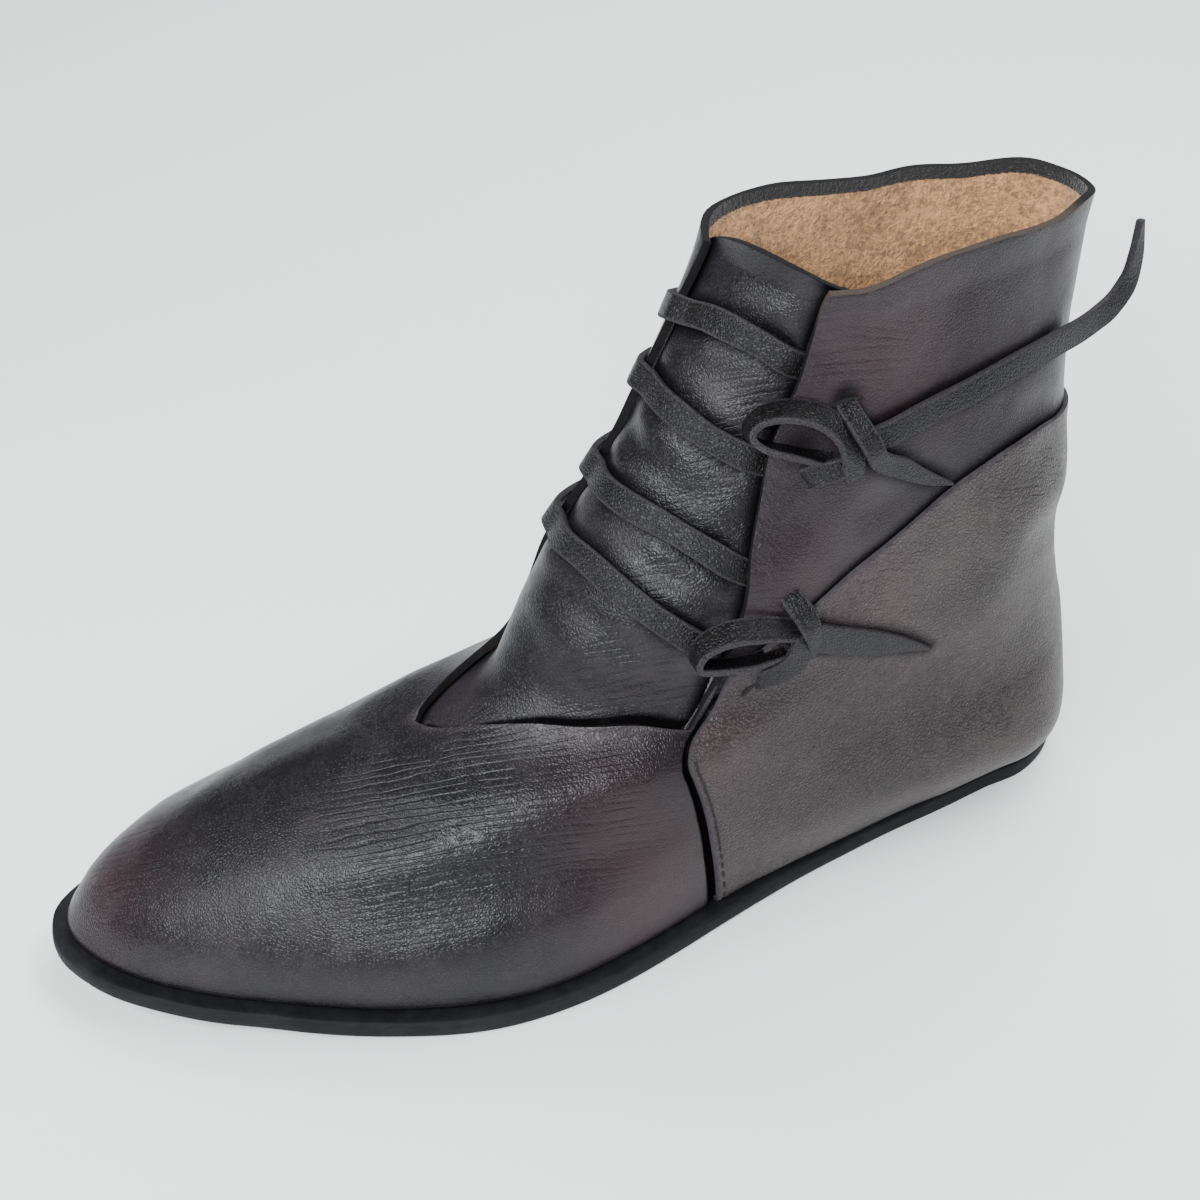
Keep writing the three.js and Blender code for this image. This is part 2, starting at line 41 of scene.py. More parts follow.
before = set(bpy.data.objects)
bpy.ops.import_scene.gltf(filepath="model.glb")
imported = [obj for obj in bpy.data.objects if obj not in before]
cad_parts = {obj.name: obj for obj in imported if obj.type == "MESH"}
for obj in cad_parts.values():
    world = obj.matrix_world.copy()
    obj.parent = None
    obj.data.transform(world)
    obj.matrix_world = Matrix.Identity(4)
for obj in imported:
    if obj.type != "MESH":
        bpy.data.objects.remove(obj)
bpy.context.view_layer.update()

MM = 0.001

# Sizes of the last, in millimetres, as in the part's source
LENGTH, BALL_WIDTH, HEIGHT = 285.0, 100.0, 168.0
TOE_SPRING, TOE_SWING, INSTEP_SHIFT = 6.2, 24.0, 2.0
SOLE, GAP = 5.0, 0.3
LEDGE_TOE, LEDGE_HEEL = 3.0, 1.6
FLAP_LIFT = 1.6
FEATHER = SOLE + GAP
TO_ORIGIN = np.array([2.2893, 0.7, 0.0])
UPPER_WALL, TONGUE_WALL, INSOLE = 2.0, 1.7, 2.0

# Where the spring, the swing and the instep's shift begin, as shares from the heel to the toe
SPRING_FROM, SWING_FROM, INSTEP_FROM = 0.686, 0.486, 0.336
# How far up the last the outer side's seam goes, and the millimetres that stand for out of reach
SEAM_TOP, FAR_OFF = 0.545, 99.0
# The upper's dip under the quarter, its hollow along the seam, its tuck over the sole and the most that
# they come to together
DIP, HOLLOW, TUCK, DEEPEST = 1.2, 2.2, 1.5, 2.4
# The seam's gap at the sole and how much narrower it is at its top, and how far the stitches are off it
SEAM_GAP, SEAM_CLOSES, STITCH_INSET = 3.0, 2.2, 1.4
# How far a bar's middle is over the tongue and the flap, and how far it starts under the near flap
BAR_OVER_TONGUE, BAR_OVER_FLAP, BAR_STARTS_UNDER = 0.9, 1.4, 2.2

# Rings of the last: place up it, then front y and z, back y and z, and the rounds of the two ends, all
# as shares of its sizes
RINGS = np.array([
    [0.0, -0.5, 0.038, 0.5, 0.0, 0.412, 0.095],
    [0.054, -0.473, 0.102, 0.499, 0.103, 0.379, 0.133],
    [0.17, -0.39, 0.199, 0.495, 0.222, 0.418, 0.132],
    [0.34, -0.256, 0.296, 0.479, 0.339, 0.344, 0.142],
    [0.506, -0.123, 0.385, 0.464, 0.452, 0.33, 0.144],
    [0.633, -0.06, 0.541, 0.463, 0.578, 0.191, 0.126],
    [0.761, 0.004, 0.697, 0.457, 0.717, 0.215, 0.157],
    [0.891, 0.061, 0.863, 0.462, 0.854, 0.192, 0.183],
    [1.0, 0.111, 1.0, 0.469, 1.0, 0.081, 0.147]])

# Half widths: height, then toe, ball, waist and heel, as shares
STATIONS = np.array([-0.372, -0.179, 0.084, 0.382])
OUTER_SIDE = np.array([
    [0.03, 0.45, 0.504, 0.364, 0.273],
    [0.12, 0.49, 0.511, 0.386, 0.382],
    [0.268, 0.442, 0.436, 0.37, 0.311],
    [0.476, 0.377, 0.382, 0.346, 0.321],
    [0.714, 0.32, 0.321, 0.316, 0.285],
    [0.952, 0.31, 0.313, 0.292, 0.199]])
INNER_SIDE = np.array([
    [0.03, 0.43, 0.458, 0.305, 0.289],
    [0.12, 0.486, 0.486, 0.348, 0.368],
    [0.268, 0.446, 0.41, 0.345, 0.327],
    [0.476, 0.375, 0.382, 0.333, 0.315],
    [0.714, 0.319, 0.325, 0.311, 0.294],
    [0.952, 0.31, 0.305, 0.313, 0.251]])

# Edges on the last, as rows of u and v
THROAT_NEAR = np.array([
    [0.32, 0.454], [0.324, 0.5], [0.329, 0.56], [0.335, 0.64], [0.346, 0.705], [0.355, 0.768],
    [0.363, 0.819], [0.367, 0.909], [0.379, 0.96], [0.389, 0.991], [0.392, 1.04]])
THROAT_FAR = np.array([
    [0.51, 0.433], [0.527, 0.44], [0.546, 0.452], [0.571, 0.468], [0.59, 0.484], [0.6, 0.55],
    [0.592, 0.65], [0.58, 0.77], [0.56, 0.88], [0.54, 1.0], [0.538, 1.04]])
THROAT_LOW = np.array([
    [0.32, 0.454], [0.359, 0.489], [0.391, 0.494], [0.426, 0.495], [0.46, 0.477], [0.492, 0.443],
    [0.51, 0.433]])
# The collar's uneven cut: u and how far it stands above or below the last's top ring
RIM = np.array([
    [-0.46, 0.3], [-0.38, 0.3], [-0.32, 1.4], [-0.265, 0.2], [-0.23, -0.8], [-0.2, 0.0], [-0.14, -0.2],
    [-0.08, 1.0], [-0.035, -0.1], [0.005, -0.9], [0.045, -0.3], [0.09, 0.6], [0.12, 0.7], [0.15, 0.1],
    [0.18, 0.3], [0.22, 1.4], [0.3, 1.5], [0.34, 1.0], [0.385, 0.4]])
QUARTER_NEAR = np.array([
    [0.23, -0.04], [0.241, 0.053], [0.254, 0.144], [0.269, 0.231], [0.28, 0.285], [0.297, 0.358],
    [0.311, 0.43], [0.316, 0.5], [0.322, 0.545]])
QUARTER_FAR = np.array([
    [-0.2, -0.04], [-0.215, 0.1], [-0.23, 0.25], [-0.24, 0.4], [-0.24, 0.53]])
QUARTER_HIGH = np.array([
    [0.322, 0.545], [0.3, 0.6], [0.276, 0.636], [0.254, 0.662], [0.229, 0.689], [0.205, 0.714],
    [0.176, 0.733], [0.132, 0.737], [0.096, 0.728], [0.03, 0.715], [-0.04, 0.7], [-0.12, 0.665],
    [-0.18, 0.61], [-0.24, 0.53]])
TONGUE_NEAR = np.array([
    [0.335, 0.38], [0.32, 0.48], [0.314, 0.54], [0.311, 0.6], [0.308, 0.68], [0.305, 0.78], [0.332, 0.9],
    [0.358, 0.992]])
TONGUE_FAR = np.array([
    [0.56, 0.38], [0.6, 0.45], [0.616, 0.55], [0.608, 0.65], [0.598, 0.77], [0.58, 0.88], [0.562, 0.992]])
TONGUE_HIGH = np.array([
    [0.358, 0.992], [0.39, 1.01], [0.425, 1.027], [0.47, 1.036], [0.505, 1.028], [0.535, 1.01],
    [0.562, 0.992]])

# The thongs' bars over the tongue, as rows of u and v, and how each turns in at its slit in the far flap
BARS = {
    "upper_thong_bar_1": [
        [0.373, 0.917], [0.419, 0.94], [0.475, 0.948], [0.54, 0.931], [0.612, 0.902]],
    "upper_thong_bar_2": [
        [0.369, 0.812], [0.409, 0.833], [0.464, 0.854], [0.518, 0.86], [0.612, 0.835]],
    "lower_thong_bar_1": [
        [0.351, 0.69], [0.38, 0.716], [0.418, 0.74], [0.469, 0.753], [0.535, 0.751], [0.632, 0.718]],
    "lower_thong_bar_2": [
        [0.34, 0.586], [0.358, 0.607], [0.381, 0.631], [0.417, 0.66], [0.473, 0.685], [0.536, 0.679],
        [0.632, 0.645]],
}

# The tied thongs as rows of u, v, height over the last, lean of the strap in degrees and share of the
# width. A lean of 0 is flat on the boot, and one of 90 stands on edge.
UPPER_SHORT_END = [
    [0.3225, 0.876, -1.2, 0, 0.8], [0.3205, 0.87, 0.9, 0, 0.82], [0.3182, 0.8642, 2.7, 5, 0.82],
    [0.3145, 0.856, 4.4, 12, 0.8], [0.3075, 0.8424, 5.8, 11, 0.8], [0.2999, 0.8273, 6.5, 3, 0.8],
    [0.2934, 0.8127, 6.4, -4, 0.76], [0.287, 0.8001, 5.4, -9, 0.78], [0.2775, 0.789, 4.3, -8, 0.8],
    [0.264, 0.776, 3.4, -6, 0.8], [0.2467, 0.7553, 2.6, -4, 0.64], [0.231, 0.7375, 2.0, -4, 0.42],
    [0.2157, 0.7223, 1.6, -3, 0.12]]
UPPER_ROOT = [
    [0.3306, 0.786, -1.2, 0, 0.92], [0.3292, 0.7868, 0.8, 6, 0.94], [0.3274, 0.79, 2.3, 4, 0.95],
    [0.3238, 0.7932, 3.3, -2, 0.92], [0.3159, 0.7957, 4.0, -2, 0.84], [0.3084, 0.7988, 4.4, 0, 0.82],
    [0.3, 0.8022, 3.9, 3, 0.8]]
UPPER_LOOP = [
    [0.2968, 0.777, 3.2, 176, 0.6], [0.299, 0.7835, 4.4, 172, 0.75], [0.3029, 0.7964, 5.3, 170, 0.86],
    [0.3077, 0.8142, 5.8, 161, 0.95], [0.3142, 0.8307, 5.8, 149, 1.04], [0.3232, 0.846, 5.5, 137, 1.1],
    [0.3345, 0.859, 5.2, 126, 1.12], [0.3483, 0.8693, 5.1, 120, 1.12], [0.3624, 0.8738, 5.1, 117, 1.08],
    [0.3751, 0.873, 5.1, 114, 1.05], [0.3845, 0.8672, 5.1, 112, 1.01], [0.3889, 0.8547, 5.1, 109, 1.0],
    [0.3848, 0.8436, 5.0, 101, 1.0], [0.3755, 0.836, 4.9, 91, 1.0], [0.3635, 0.8301, 4.7, 85, 0.96],
    [0.3519, 0.8251, 4.3, 81, 0.89], [0.3406, 0.8194, 3.8, 74, 0.8], [0.3289, 0.8128, 2.9, 58, 0.7],
    [0.317, 0.8066, 2.0, 25, 0.6]]
UPPER_LONG_END = [
    [0.299, 0.824, 3.6, 0, 0.8], [0.2888, 0.8237, 3.5, 0, 0.95], [0.2739, 0.8274, 2.7, 0, 1.0],
    [0.2553, 0.8338, 1.9, 0, 1.0], [0.2318, 0.8392, 1.5, 0, 1.0], [0.2076, 0.8456, 1.4, 0, 1.0],
    [0.1787, 0.8499, 1.3, 0, 1.0], [0.148, 0.8499, 1.5, 0, 1.0], [0.118, 0.849, 2.0, 0, 1.0]]
# The long end goes on behind the boot: x, y, z, then the way its face looks and its share of the width
UPPER_LONG_END_FREE = [
    [18.2, 130.0, 137.2, 0.86, 0.46, 0.2, 1.0], [15.9, 137.7, 139.1, 0.84, 0.42, 0.33, 1.0],
    [14.4, 142.6, 143.3, 0.86, 0.3, 0.42, 0.95], [13.5, 144.4, 150.0, 0.9, 0.3, 0.3, 0.8],
    [12.8, 144.8, 155.0, 0.9, 0.4, 0.1, 0.6], [12.4, 144.9, 158.5, 0.9, 0.4, 0.0, 0.34]]
LOWER_BAND = [
    [0.3112, 0.65, -1.2, 0, 0.8], [0.3098, 0.645, 0.9, 0, 0.82], [0.3073, 0.6382, 2.6, 2, 0.87],
    [0.3041, 0.6303, 4.3, 3, 0.9], [0.2992, 0.6178, 5.6, 0, 0.9], [0.2936, 0.601, 6.3, 0, 0.78],
    [0.2874, 0.5804, 5.9, 1, 0.56], [0.2828, 0.562, 5.0, 7, 0.4], [0.28, 0.548, 3.8, 10, 0.25]]
LOWER_ROOT = [
    [0.3035, 0.5195, -1.2, 0, 0.75], [0.3018, 0.521, 0.8, 10, 0.78], [0.299, 0.5275, 2.4, 8, 0.85],
    [0.2946, 0.534, 3.4, 4, 0.95], [0.2913, 0.5439, 4.2, 5, 1.02], [0.2905, 0.5603, 4.9, 4, 1.04],
    [0.292, 0.5774, 5.1, -2, 0.98], [0.2932, 0.59, 4.6, -7, 0.85]]
LOWER_LOOP = [
    [0.295, 0.599, 3.4, 140, 0.8], [0.304, 0.6048, 4.4, 137, 0.9], [0.3138, 0.6132, 4.8, 131, 0.96],
    [0.3274, 0.6209, 5.1, 125, 1.02], [0.3409, 0.624, 5.1, 121, 1.04], [0.3502, 0.6212, 5.1, 115, 1.03],
    [0.3562, 0.6138, 5.1, 107, 1.02], [0.3573, 0.5996, 5.1, 97, 0.96], [0.3534, 0.5879, 5.0, 97, 0.95],
    [0.3409, 0.5816, 4.9, 98, 0.96], [0.3297, 0.5774, 4.8, 99, 0.93], [0.3192, 0.5733, 4.4, 94, 0.84],
    [0.3089, 0.5705, 3.6, 80, 0.71], [0.2982, 0.5677, 2.6, 50, 0.56]]
LOWER_END = [
    [0.299, 0.596, 4.0, 4, 0.85], [0.2925, 0.588, 4.1, 4, 1.0], [0.2847, 0.5786, 3.7, 5, 1.1],
    [0.2706, 0.5593, 3.1, 3, 1.16], [0.2537, 0.5372, 2.7, 2, 1.18], [0.2362, 0.5139, 2.4, 1, 1.05],
    [0.2197, 0.4888, 2.2, 0, 0.78], [0.2046, 0.4602, 2.1, 0, 0.46], [0.19, 0.4259, 2.0, 0, 0.1]]

# Slits of the near flap: u, v and the slit's turn from upright, in degrees
SLITS = [
    [0.3215, 0.8725, 60], [0.3306, 0.7855, 0], [0.3108, 0.648, 40], [0.3035, 0.519, 10]]

# Folds: width and depth of each trough, or of a ridge where the depth is below 0, then its line as rows of
# u and v
VAMP_FOLDS = [
    (9.0, -0.95, [[0.452, 0.045], [0.431, 0.1], [0.394, 0.168], [0.361, 0.251], [0.33, 0.332]]),
    (8.0, 0.55, [[0.42, 0.06], [0.393, 0.11], [0.361, 0.165], [0.333, 0.205], [0.305, 0.24]]),
    (9.0, 0.85, [[0.51, 0.12], [0.484, 0.224], [0.474, 0.322], [0.457, 0.4]]),
    (4.0, 0.4, [[0.47, 0.445], [0.44, 0.405], [0.4, 0.375]]),
    (3.2, 0.35, [[0.44, 0.26], [0.4, 0.33], [0.345, 0.372]]),
    (3.0, 0.35, [[0.43, 0.24], [0.39, 0.3], [0.335, 0.345]]),
    (3.2, 0.3, [[0.415, 0.215], [0.375, 0.27], [0.318, 0.31]]),
    (3.5, 0.35, [[0.33, 0.155], [0.3, 0.175], [0.275, 0.17]]),
    (3.5, 0.3, [[0.32, 0.12], [0.29, 0.13], [0.266, 0.12]]),
    (4.0, 0.25, [[0.505, 0.15], [0.48, 0.15], [0.455, 0.165]]),
    (4.0, 0.2, [[0.5, 0.11], [0.475, 0.105], [0.45, 0.115]]),
    (6.0, 0.4, [[0.56, 0.2], [0.56, 0.3], [0.555, 0.4]]),
]
SHAFT_FOLDS = [
    (4.5, 0.45, [[0.345, 0.735], [0.335, 0.65], [0.32, 0.57]]),
    (5.0, 0.45, [[0.3, 0.76], [0.25, 0.715], [0.205, 0.72]]),
    (4.0, 0.35, [[0.29, 0.7], [0.255, 0.735], [0.215, 0.745]]),
    (5.0, 0.4, [[0.372, 0.96], [0.35, 0.93], [0.33, 0.88]]),
    (3.0, 0.3, [[0.345, 0.965], [0.325, 0.95], [0.3, 0.955]]),
    (3.0, 0.25, [[0.365, 0.93], [0.335, 0.92], [0.305, 0.925]]),
    (6.0, 0.45, [[0.17, 0.8], [0.14, 0.765], [0.105, 0.745]]),
    (3.0, 0.35, [[0.15, 0.775], [0.12, 0.765], [0.095, 0.745]]),
    (7.0, 0.5, [[0.02, 0.82], [-0.08, 0.8], [-0.16, 0.83]]),
    (6.0, 0.5, [[-0.26, 0.56], [-0.32, 0.6], [-0.38, 0.58]]),
]
TONGUE_FOLDS = [
    (3.5, 0.5, [[0.378, 0.9], [0.42, 0.915], [0.48, 0.925]]),
    (3.0, 0.45, [[0.372, 0.87], [0.4, 0.89], [0.445, 0.905]]),
    (4.0, 0.5, [[0.38, 0.845], [0.425, 0.88], [0.5, 0.895]]),
    (4.0, 0.55, [[0.362, 0.78], [0.39, 0.8], [0.44, 0.82]]),
    (4.5, 0.6, [[0.37, 0.75], [0.42, 0.775], [0.5, 0.805]]),
    (3.0, 0.4, [[0.48, 0.79], [0.52, 0.81], [0.56, 0.815]]),
    (3.5, 0.5, [[0.352, 0.65], [0.38, 0.675], [0.42, 0.7]]),
    (4.0, 0.55, [[0.4, 0.685], [0.45, 0.715], [0.52, 0.72]]),
    (4.5, 0.65, [[0.345, 0.56], [0.37, 0.585], [0.41, 0.625]]),
    (5.0, 0.65, [[0.4, 0.595], [0.45, 0.64], [0.52, 0.645]]),
    (6.0, 0.6, [[0.42, 0.53], [0.47, 0.57], [0.54, 0.6]]),
    (5.0, 0.5, [[0.35, 0.51], [0.4, 0.53], [0.45, 0.52]]),
]
HEEL_FOLDS = [
    (5.0, 0.5, [[0.16, 0.7], [0.13, 0.68], [0.1, 0.64]]),
    (3.0, 0.4, [[0.14, 0.72], [0.11, 0.7], [0.085, 0.67]]),
    (6.0, 0.7, [[0.145, 0.56], [0.11, 0.56], [0.06, 0.54]]),
    (7.0, 0.4, [[0.28, 0.6], [0.24, 0.585], [0.2, 0.56]]),
    (9.0, 0.45, [[0.24, 0.3], [0.2, 0.27], [0.16, 0.27]]),
    (9.0, -0.4, [[0.23, 0.45], [0.19, 0.43], [0.15, 0.45]]),
    (8.0, 0.4, [[0.06, 0.4], [-0.02, 0.38], [-0.1, 0.4]]),
]


# The last

def ramp(a, b, x):
    """Smooth step from 0 at a to 1 at b: t * t * (3 - 2t) of the clipped share t. The ends may change
    from point to point."""
    t = np.clip((np.asarray(x, float) - a) / (b - a), 0, 1)
    return t * t * (3 - 2 * t)


def bell(distance, reach=1.0):
    """1 at no distance, falling as exp(-d * d) where d is the distance over the reach."""
    return np.exp(-(distance / reach) ** 2)


def past(distance, reach):
    """1 up to an edge, falling as a bell of the distance past it."""
    return bell(np.maximum(distance, 0), reach)


def unit(a):
    """Vectors over their lengths."""
    return a / np.maximum(np.linalg.norm(a, axis=-1, keepdims=True), 1e-9)


def smooth(xs, ys, x):
    """Smooth curve through the values ys at the places xs: on each stretch a cubic with the ends' values
    and slopes, where a slope is the mean of its two neighbours', weighed by the other's length."""
    xs = np.asarray(xs, float)
    x = np.clip(np.atleast_1d(np.asarray(x, float)), xs[0], xs[-1])
    ys = np.asarray(ys, float)
    if ys.ndim == 1:
        ys = ys.reshape((-1,) + (1,) * x.ndim)
    ys = np.broadcast_to(ys, (len(xs),) + x.shape)
    step = np.diff(xs)
    h = step.reshape((-1,) + (1,) * x.ndim)
    slope = np.diff(ys, axis=0) / h
    inner = (h[1:] * slope[:-1] + h[:-1] * slope[1:]) / (h[1:] + h[:-1])
    tangent = np.concatenate([slope[:1], inner, slope[-1:]])
    i = np.clip(np.searchsorted(xs, x, side="right") - 1, 0, len(xs) - 2)

    def pick(rows, k):
        return np.take_along_axis(rows, k[None], 0)[0]

    t = (x - xs[i]) / step[i]
    return (pick(ys, i) * (1 + 2 * t) * (1 - t) ** 2 + step[i] * pick(tangent, i) * t * (1 - t) ** 2
            + pick(ys, i + 1) * t * t * (3 - 2 * t) + step[i] * pick(tangent, i + 1) * t * t * (t - 1))


def along(rows, t, measure=2):
    """The columns of a table as smooth functions of how far along it one is, from 0 to 1, where the
    distance between rows is that of their first few columns."""
    rows = np.asarray(rows, float)
    steps = np.linalg.norm(np.diff(rows[:, :measure], axis=0), axis=1)
    places = np.r_[0, np.cumsum(steps)] / steps.sum()
    return [smooth(places, rows[:, k], t) for k in range(rows.shape[1])]


def from_heel(y):
    """The share of the length from the heel, 0, to the toe, 1."""
    return 0.5 - y / LENGTH


def past_share(y, start):
    """The share of the way from the start to the toe, 0 before it."""
    return np.clip((from_heel(y) - start) / (1 - start), 0, 1)


def spring_at(y):
    """The sole's rise towards the toe: the square of the share past the ball."""
    return TOE_SPRING * past_share(y, SPRING_FROM) ** 2


def over_floor(points):
    """Millimetres over the last's feather line."""
    return points[..., 2] - FEATHER - spring_at(points[..., 1] - TO_ORIGIN[1])


def half_width(side, y, z):
    """A side's half width: smooth through its stations along y, and through their heights along z."""
    across = np.stack([smooth(STATIONS * LENGTH, row[1:] * BALL_WIDTH, y) for row in side])
    return smooth(side[:, 0] * HEIGHT, across, z)


def spread(u, v):
    """u and v as arrays of one shape."""
    return (np.array(a, float) for a in np.broadcast_arrays(np.atleast_1d(u), np.atleast_1d(v)))


def circle(share):
    """A quarter circle's rise over a share of its radius."""
    return np.sqrt(np.clip(1 - (1 - np.clip(share, 0, 1)) ** 2, 0, 1))


def last(u, v):
    """Points of the last. Round each ring, y and z go from the back's to the front's by a cosine of the
    angle, and x is the half width times a circle's round near both ends, about a swung middle line."""
    u, v = spread(u, v)
    w = np.clip(v, 0, 1)
    angle = 2 * np.pi * u
    s = 0.5 - 0.5 * np.cos(angle)
    rise = HEIGHT - FEATHER
    front_y, front_z, back_y, back_z, front_round, back_round = (
        smooth(RINGS[:, 0], RINGS[:, k], w) for k in range(1, 7))
    front_y, back_y = front_y * LENGTH, back_y * LENGTH
    y = back_y + (front_y - back_y) * s
    flat = (RINGS[0, 4] + (RINGS[0, 2] - RINGS[0, 4]) * s) * rise
    lowest = spring_at((RINGS[0, 3] + (RINGS[0, 1] - RINGS[0, 3]) * s) * LENGTH)
    settle = (lowest - flat) * np.clip(1 - w / 0.25, 0, 1) ** 2
    z = FEATHER + (back_z + (front_z - back_z) * s) * rise + settle
    long = back_y - front_y
    round_ends = circle(s * long / (back_round * LENGTH)) * circle((1 - s) * long / (front_round * LENGTH))
    half = np.where(np.sin(angle) >= 0, half_width(OUTER_SIDE, y, z), -half_width(INNER_SIDE, y, z))
    shift = INSTEP_SHIFT * np.clip((z - 20) / 40, 0, 1) * np.clip((from_heel(y) - INSTEP_FROM) / 0.2, 0, 1)
    middle = shift - TOE_SWING * past_share(y, SWING_FROM) ** 1.6
    return np.stack([middle + half * round_ends, y, z + (v - w) * HEIGHT], -1) + TO_ORIGIN


def directions(u, v):
    """How the last goes on round and up, in millimetres for one of u or v, and its outward direction."""
    u, v = spread(u, v)
    around = (last(u + 0.004, v) - last(u - 0.004, v)) / 0.008
    up = (last(u, v + 0.006) - last(u, v - 0.006)) / 0.012
    up = np.where((v > 0)[..., None], up, [0.0, 0.0, 150.0])
    return around, up, unit(np.cross(up, around))


def place(u, v, off):
    """The point of the last at u and v, moved outwards by off."""
    return last(u, v) + directions(u, v)[2] * np.asarray(off, float)[..., None]


def edge_u(rows, v):
    """u of an edge that goes up the last, at the heights v."""
    return smooth(rows[:, 1], rows[:, 0], v)


def edge_v(rows, u):
    """v of an edge that goes round the last, at the places u."""
    return smooth(rows[:, 0], rows[:, 1], u)


def flap_off(u, v):
    """How far the flaps stand out where they lap the tongue: a smooth step towards the throat's edges."""
    near, far = edge_u(THROAT_NEAR, v), edge_u(THROAT_FAR, v)
    flaps = np.where(u < 0.5, ramp(near - 0.13, near - 0.055, u), 1 - ramp(far + 0.055, far + 0.13, u))
    return FLAP_LIFT * flaps * ramp(0.48, 0.56, v)


def troughs(points, folds):
    """Soft folds: each trough falls off as a bell of the distance to its line, has a low ridge on both
    sides, and fades at its ends."""
    height = np.zeros(points.shape[:-1])
    t = np.linspace(0, 1, 25)
    for width, depth, rows in folds:
        line = last(*along(rows, t))
        fade = np.sin(np.pi * np.clip(t, 0.03, 0.97)) ** 0.5
        near = np.where(np.linalg.norm(points - line.mean(axis=0), axis=-1)
                        < 3 * width + np.linalg.norm(line[0] - line[-1]) * 0.6)
        apart = np.linalg.norm(points[near][:, None] - line, axis=-1)
        nearest = np.argmin(apart, axis=-1)
        d = np.take_along_axis(apart, nearest[:, None], -1)[:, 0] / width
        height[near] += depth * fade[nearest] * (0.3 * bell(d - 1.7, 0.7) - bell(d))
    return height


def waves(points, size, seed):
    """Low uneven swells: a sum of sines in directions and lengths drawn once from the seed."""
    pick = np.random.default_rng(seed)
    total = np.zeros(points.shape[:-1])
    for _ in range(7):
        way = unit(pick.normal(size=3)) * 2 * np.pi / (size * pick.uniform(0.6, 1.6))
        total += np.sin(points @ way + pick.uniform(0, 6.28))
    return total / 4.0


# Meshes

def make_object(name, points, faces, replaces=()):
    """A mesh object from points in millimetres and arrays of faces with equally many corners."""
    mesh = bpy.data.meshes.new(name)
    points = np.asarray(points, float).reshape(-1, 3) * MM
    corners = np.concatenate([np.asarray(f).ravel() for f in faces]).astype(np.int32)
    sizes = np.concatenate([np.full(len(f), np.asarray(f).shape[1]) for f in faces])
    starts = np.r_[0, np.cumsum(sizes)[:-1]].astype(np.int32)
    mesh.vertices.add(len(points))
    mesh.vertices.foreach_set("co", points.astype(np.float32).ravel())
    mesh.loops.add(len(corners))
    mesh.loops.foreach_set("vertex_index", corners)
    mesh.polygons.add(len(starts))
    mesh.polygons.foreach_set("loop_start", starts)
    mesh.update(calc_edges=True)
    mesh.validate()
    mesh.polygons.foreach_set("use_smooth", np.ones(len(mesh.polygons), dtype=bool))
    piece = bpy.data.objects.new(name, mesh)
    bpy.context.scene.collection.objects.link(piece)
    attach(piece, "root")
    if replaces:
        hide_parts(*replaces)
    return piece


def mark(piece, **numbers):
    """Numbers for each vertex, which the piece's material reads by name."""
    for name, values in numbers.items():
        layer = piece.data.attributes.new(name, "FLOAT", "POINT")
        layer.data.foreach_set("value", np.asarray(values, np.float32).ravel())


def grid_faces(rows, columns, closed=False):
    """Squares of a grid of points that is stored row by row, with the last column joined to the first
    where it is closed."""
    j, i = np.mgrid[0:rows - 1, 0:columns if closed else columns - 1]
    k = (i + 1) % columns
    low, high = j * columns, (j + 1) * columns
    return np.stack([low + i, low + k, high + k, high + i], -1).reshape(-1, 4)


def tube_faces(rings, around):
    """A tube of closed rings, and the fans that close its ends: the first to the point stored after the
    rings, the other to the next."""
    k = np.arange(around)
    following = (k + 1) % around
    point = np.full(around, rings * around)
    top = (rings - 1) * around
    return [grid_faces(rings, around, closed=True), np.stack([following, k, point], -1),
            np.stack([top + k, top + following, point + 1], -1)]


def give_thickness(piece, thickness, finishes):
    """Leather: the grid is its grain side, and the flesh side lies a wall further in. The cut edge has a
    finish of its own and a small round."""
    for finish in finishes:
        piece.data.materials.append(finish)
    wall = piece.modifiers.new("Wall", "SOLIDIFY")
    wall.thickness = thickness * MM
    wall.offset = -1.0
    wall.use_rim = True
    wall.material_offset = 1
    wall.material_offset_rim = 2
    edge = piece.modifiers.new("Cut edge", "BEVEL")
    edge.width = 0.3 * MM
    edge.segments = 2
    edge.limit_method = "ANGLE"
    edge.angle_limit = math.radians(55)
    edge.material = 2
    return piece


def patch(near, far, low, high, columns, rows):
    """Places inside four edges: the two ruled blends of opposite edges, less that of the corners."""
    a = np.linspace(0, 1, columns)[None, :]
    t = np.linspace(0, 1, rows)[:, None]
    sides = [along(edge, t[:, 0]) for edge in (near, far)]
    ends = [along(edge, a[0]) for edge in (low, high)]
    result = []
    for k in range(2):
        left, right = sides[0][k][:, None], sides[1][k][:, None]
        bottom, top = ends[0][k][None, :], ends[1][k][None, :]
        corners = ((left[0] * (1 - a) + right[0] * a) * (1 - t) + (left[-1] * (1 - a) + right[-1] * a) * t)
        result.append(left * (1 - a) + right * a + bottom * (1 - t) + top * t - corners)
    return result


def outward_faces(points, faces):
    """Turns the faces of a grid that looks away from the boot's middle line so that they face out."""
    p = points.reshape(-1, 3)
    a, b, c, d = (p[faces[:, k]] for k in range(4))
    normal = np.cross(c - a, d - b)
    middle = p.mean(axis=0)
    out = ((a + c) / 2 - middle) * [1, 1, 0.2]
    return faces if np.sum(normal * out) > 0 else faces[:, ::-1]


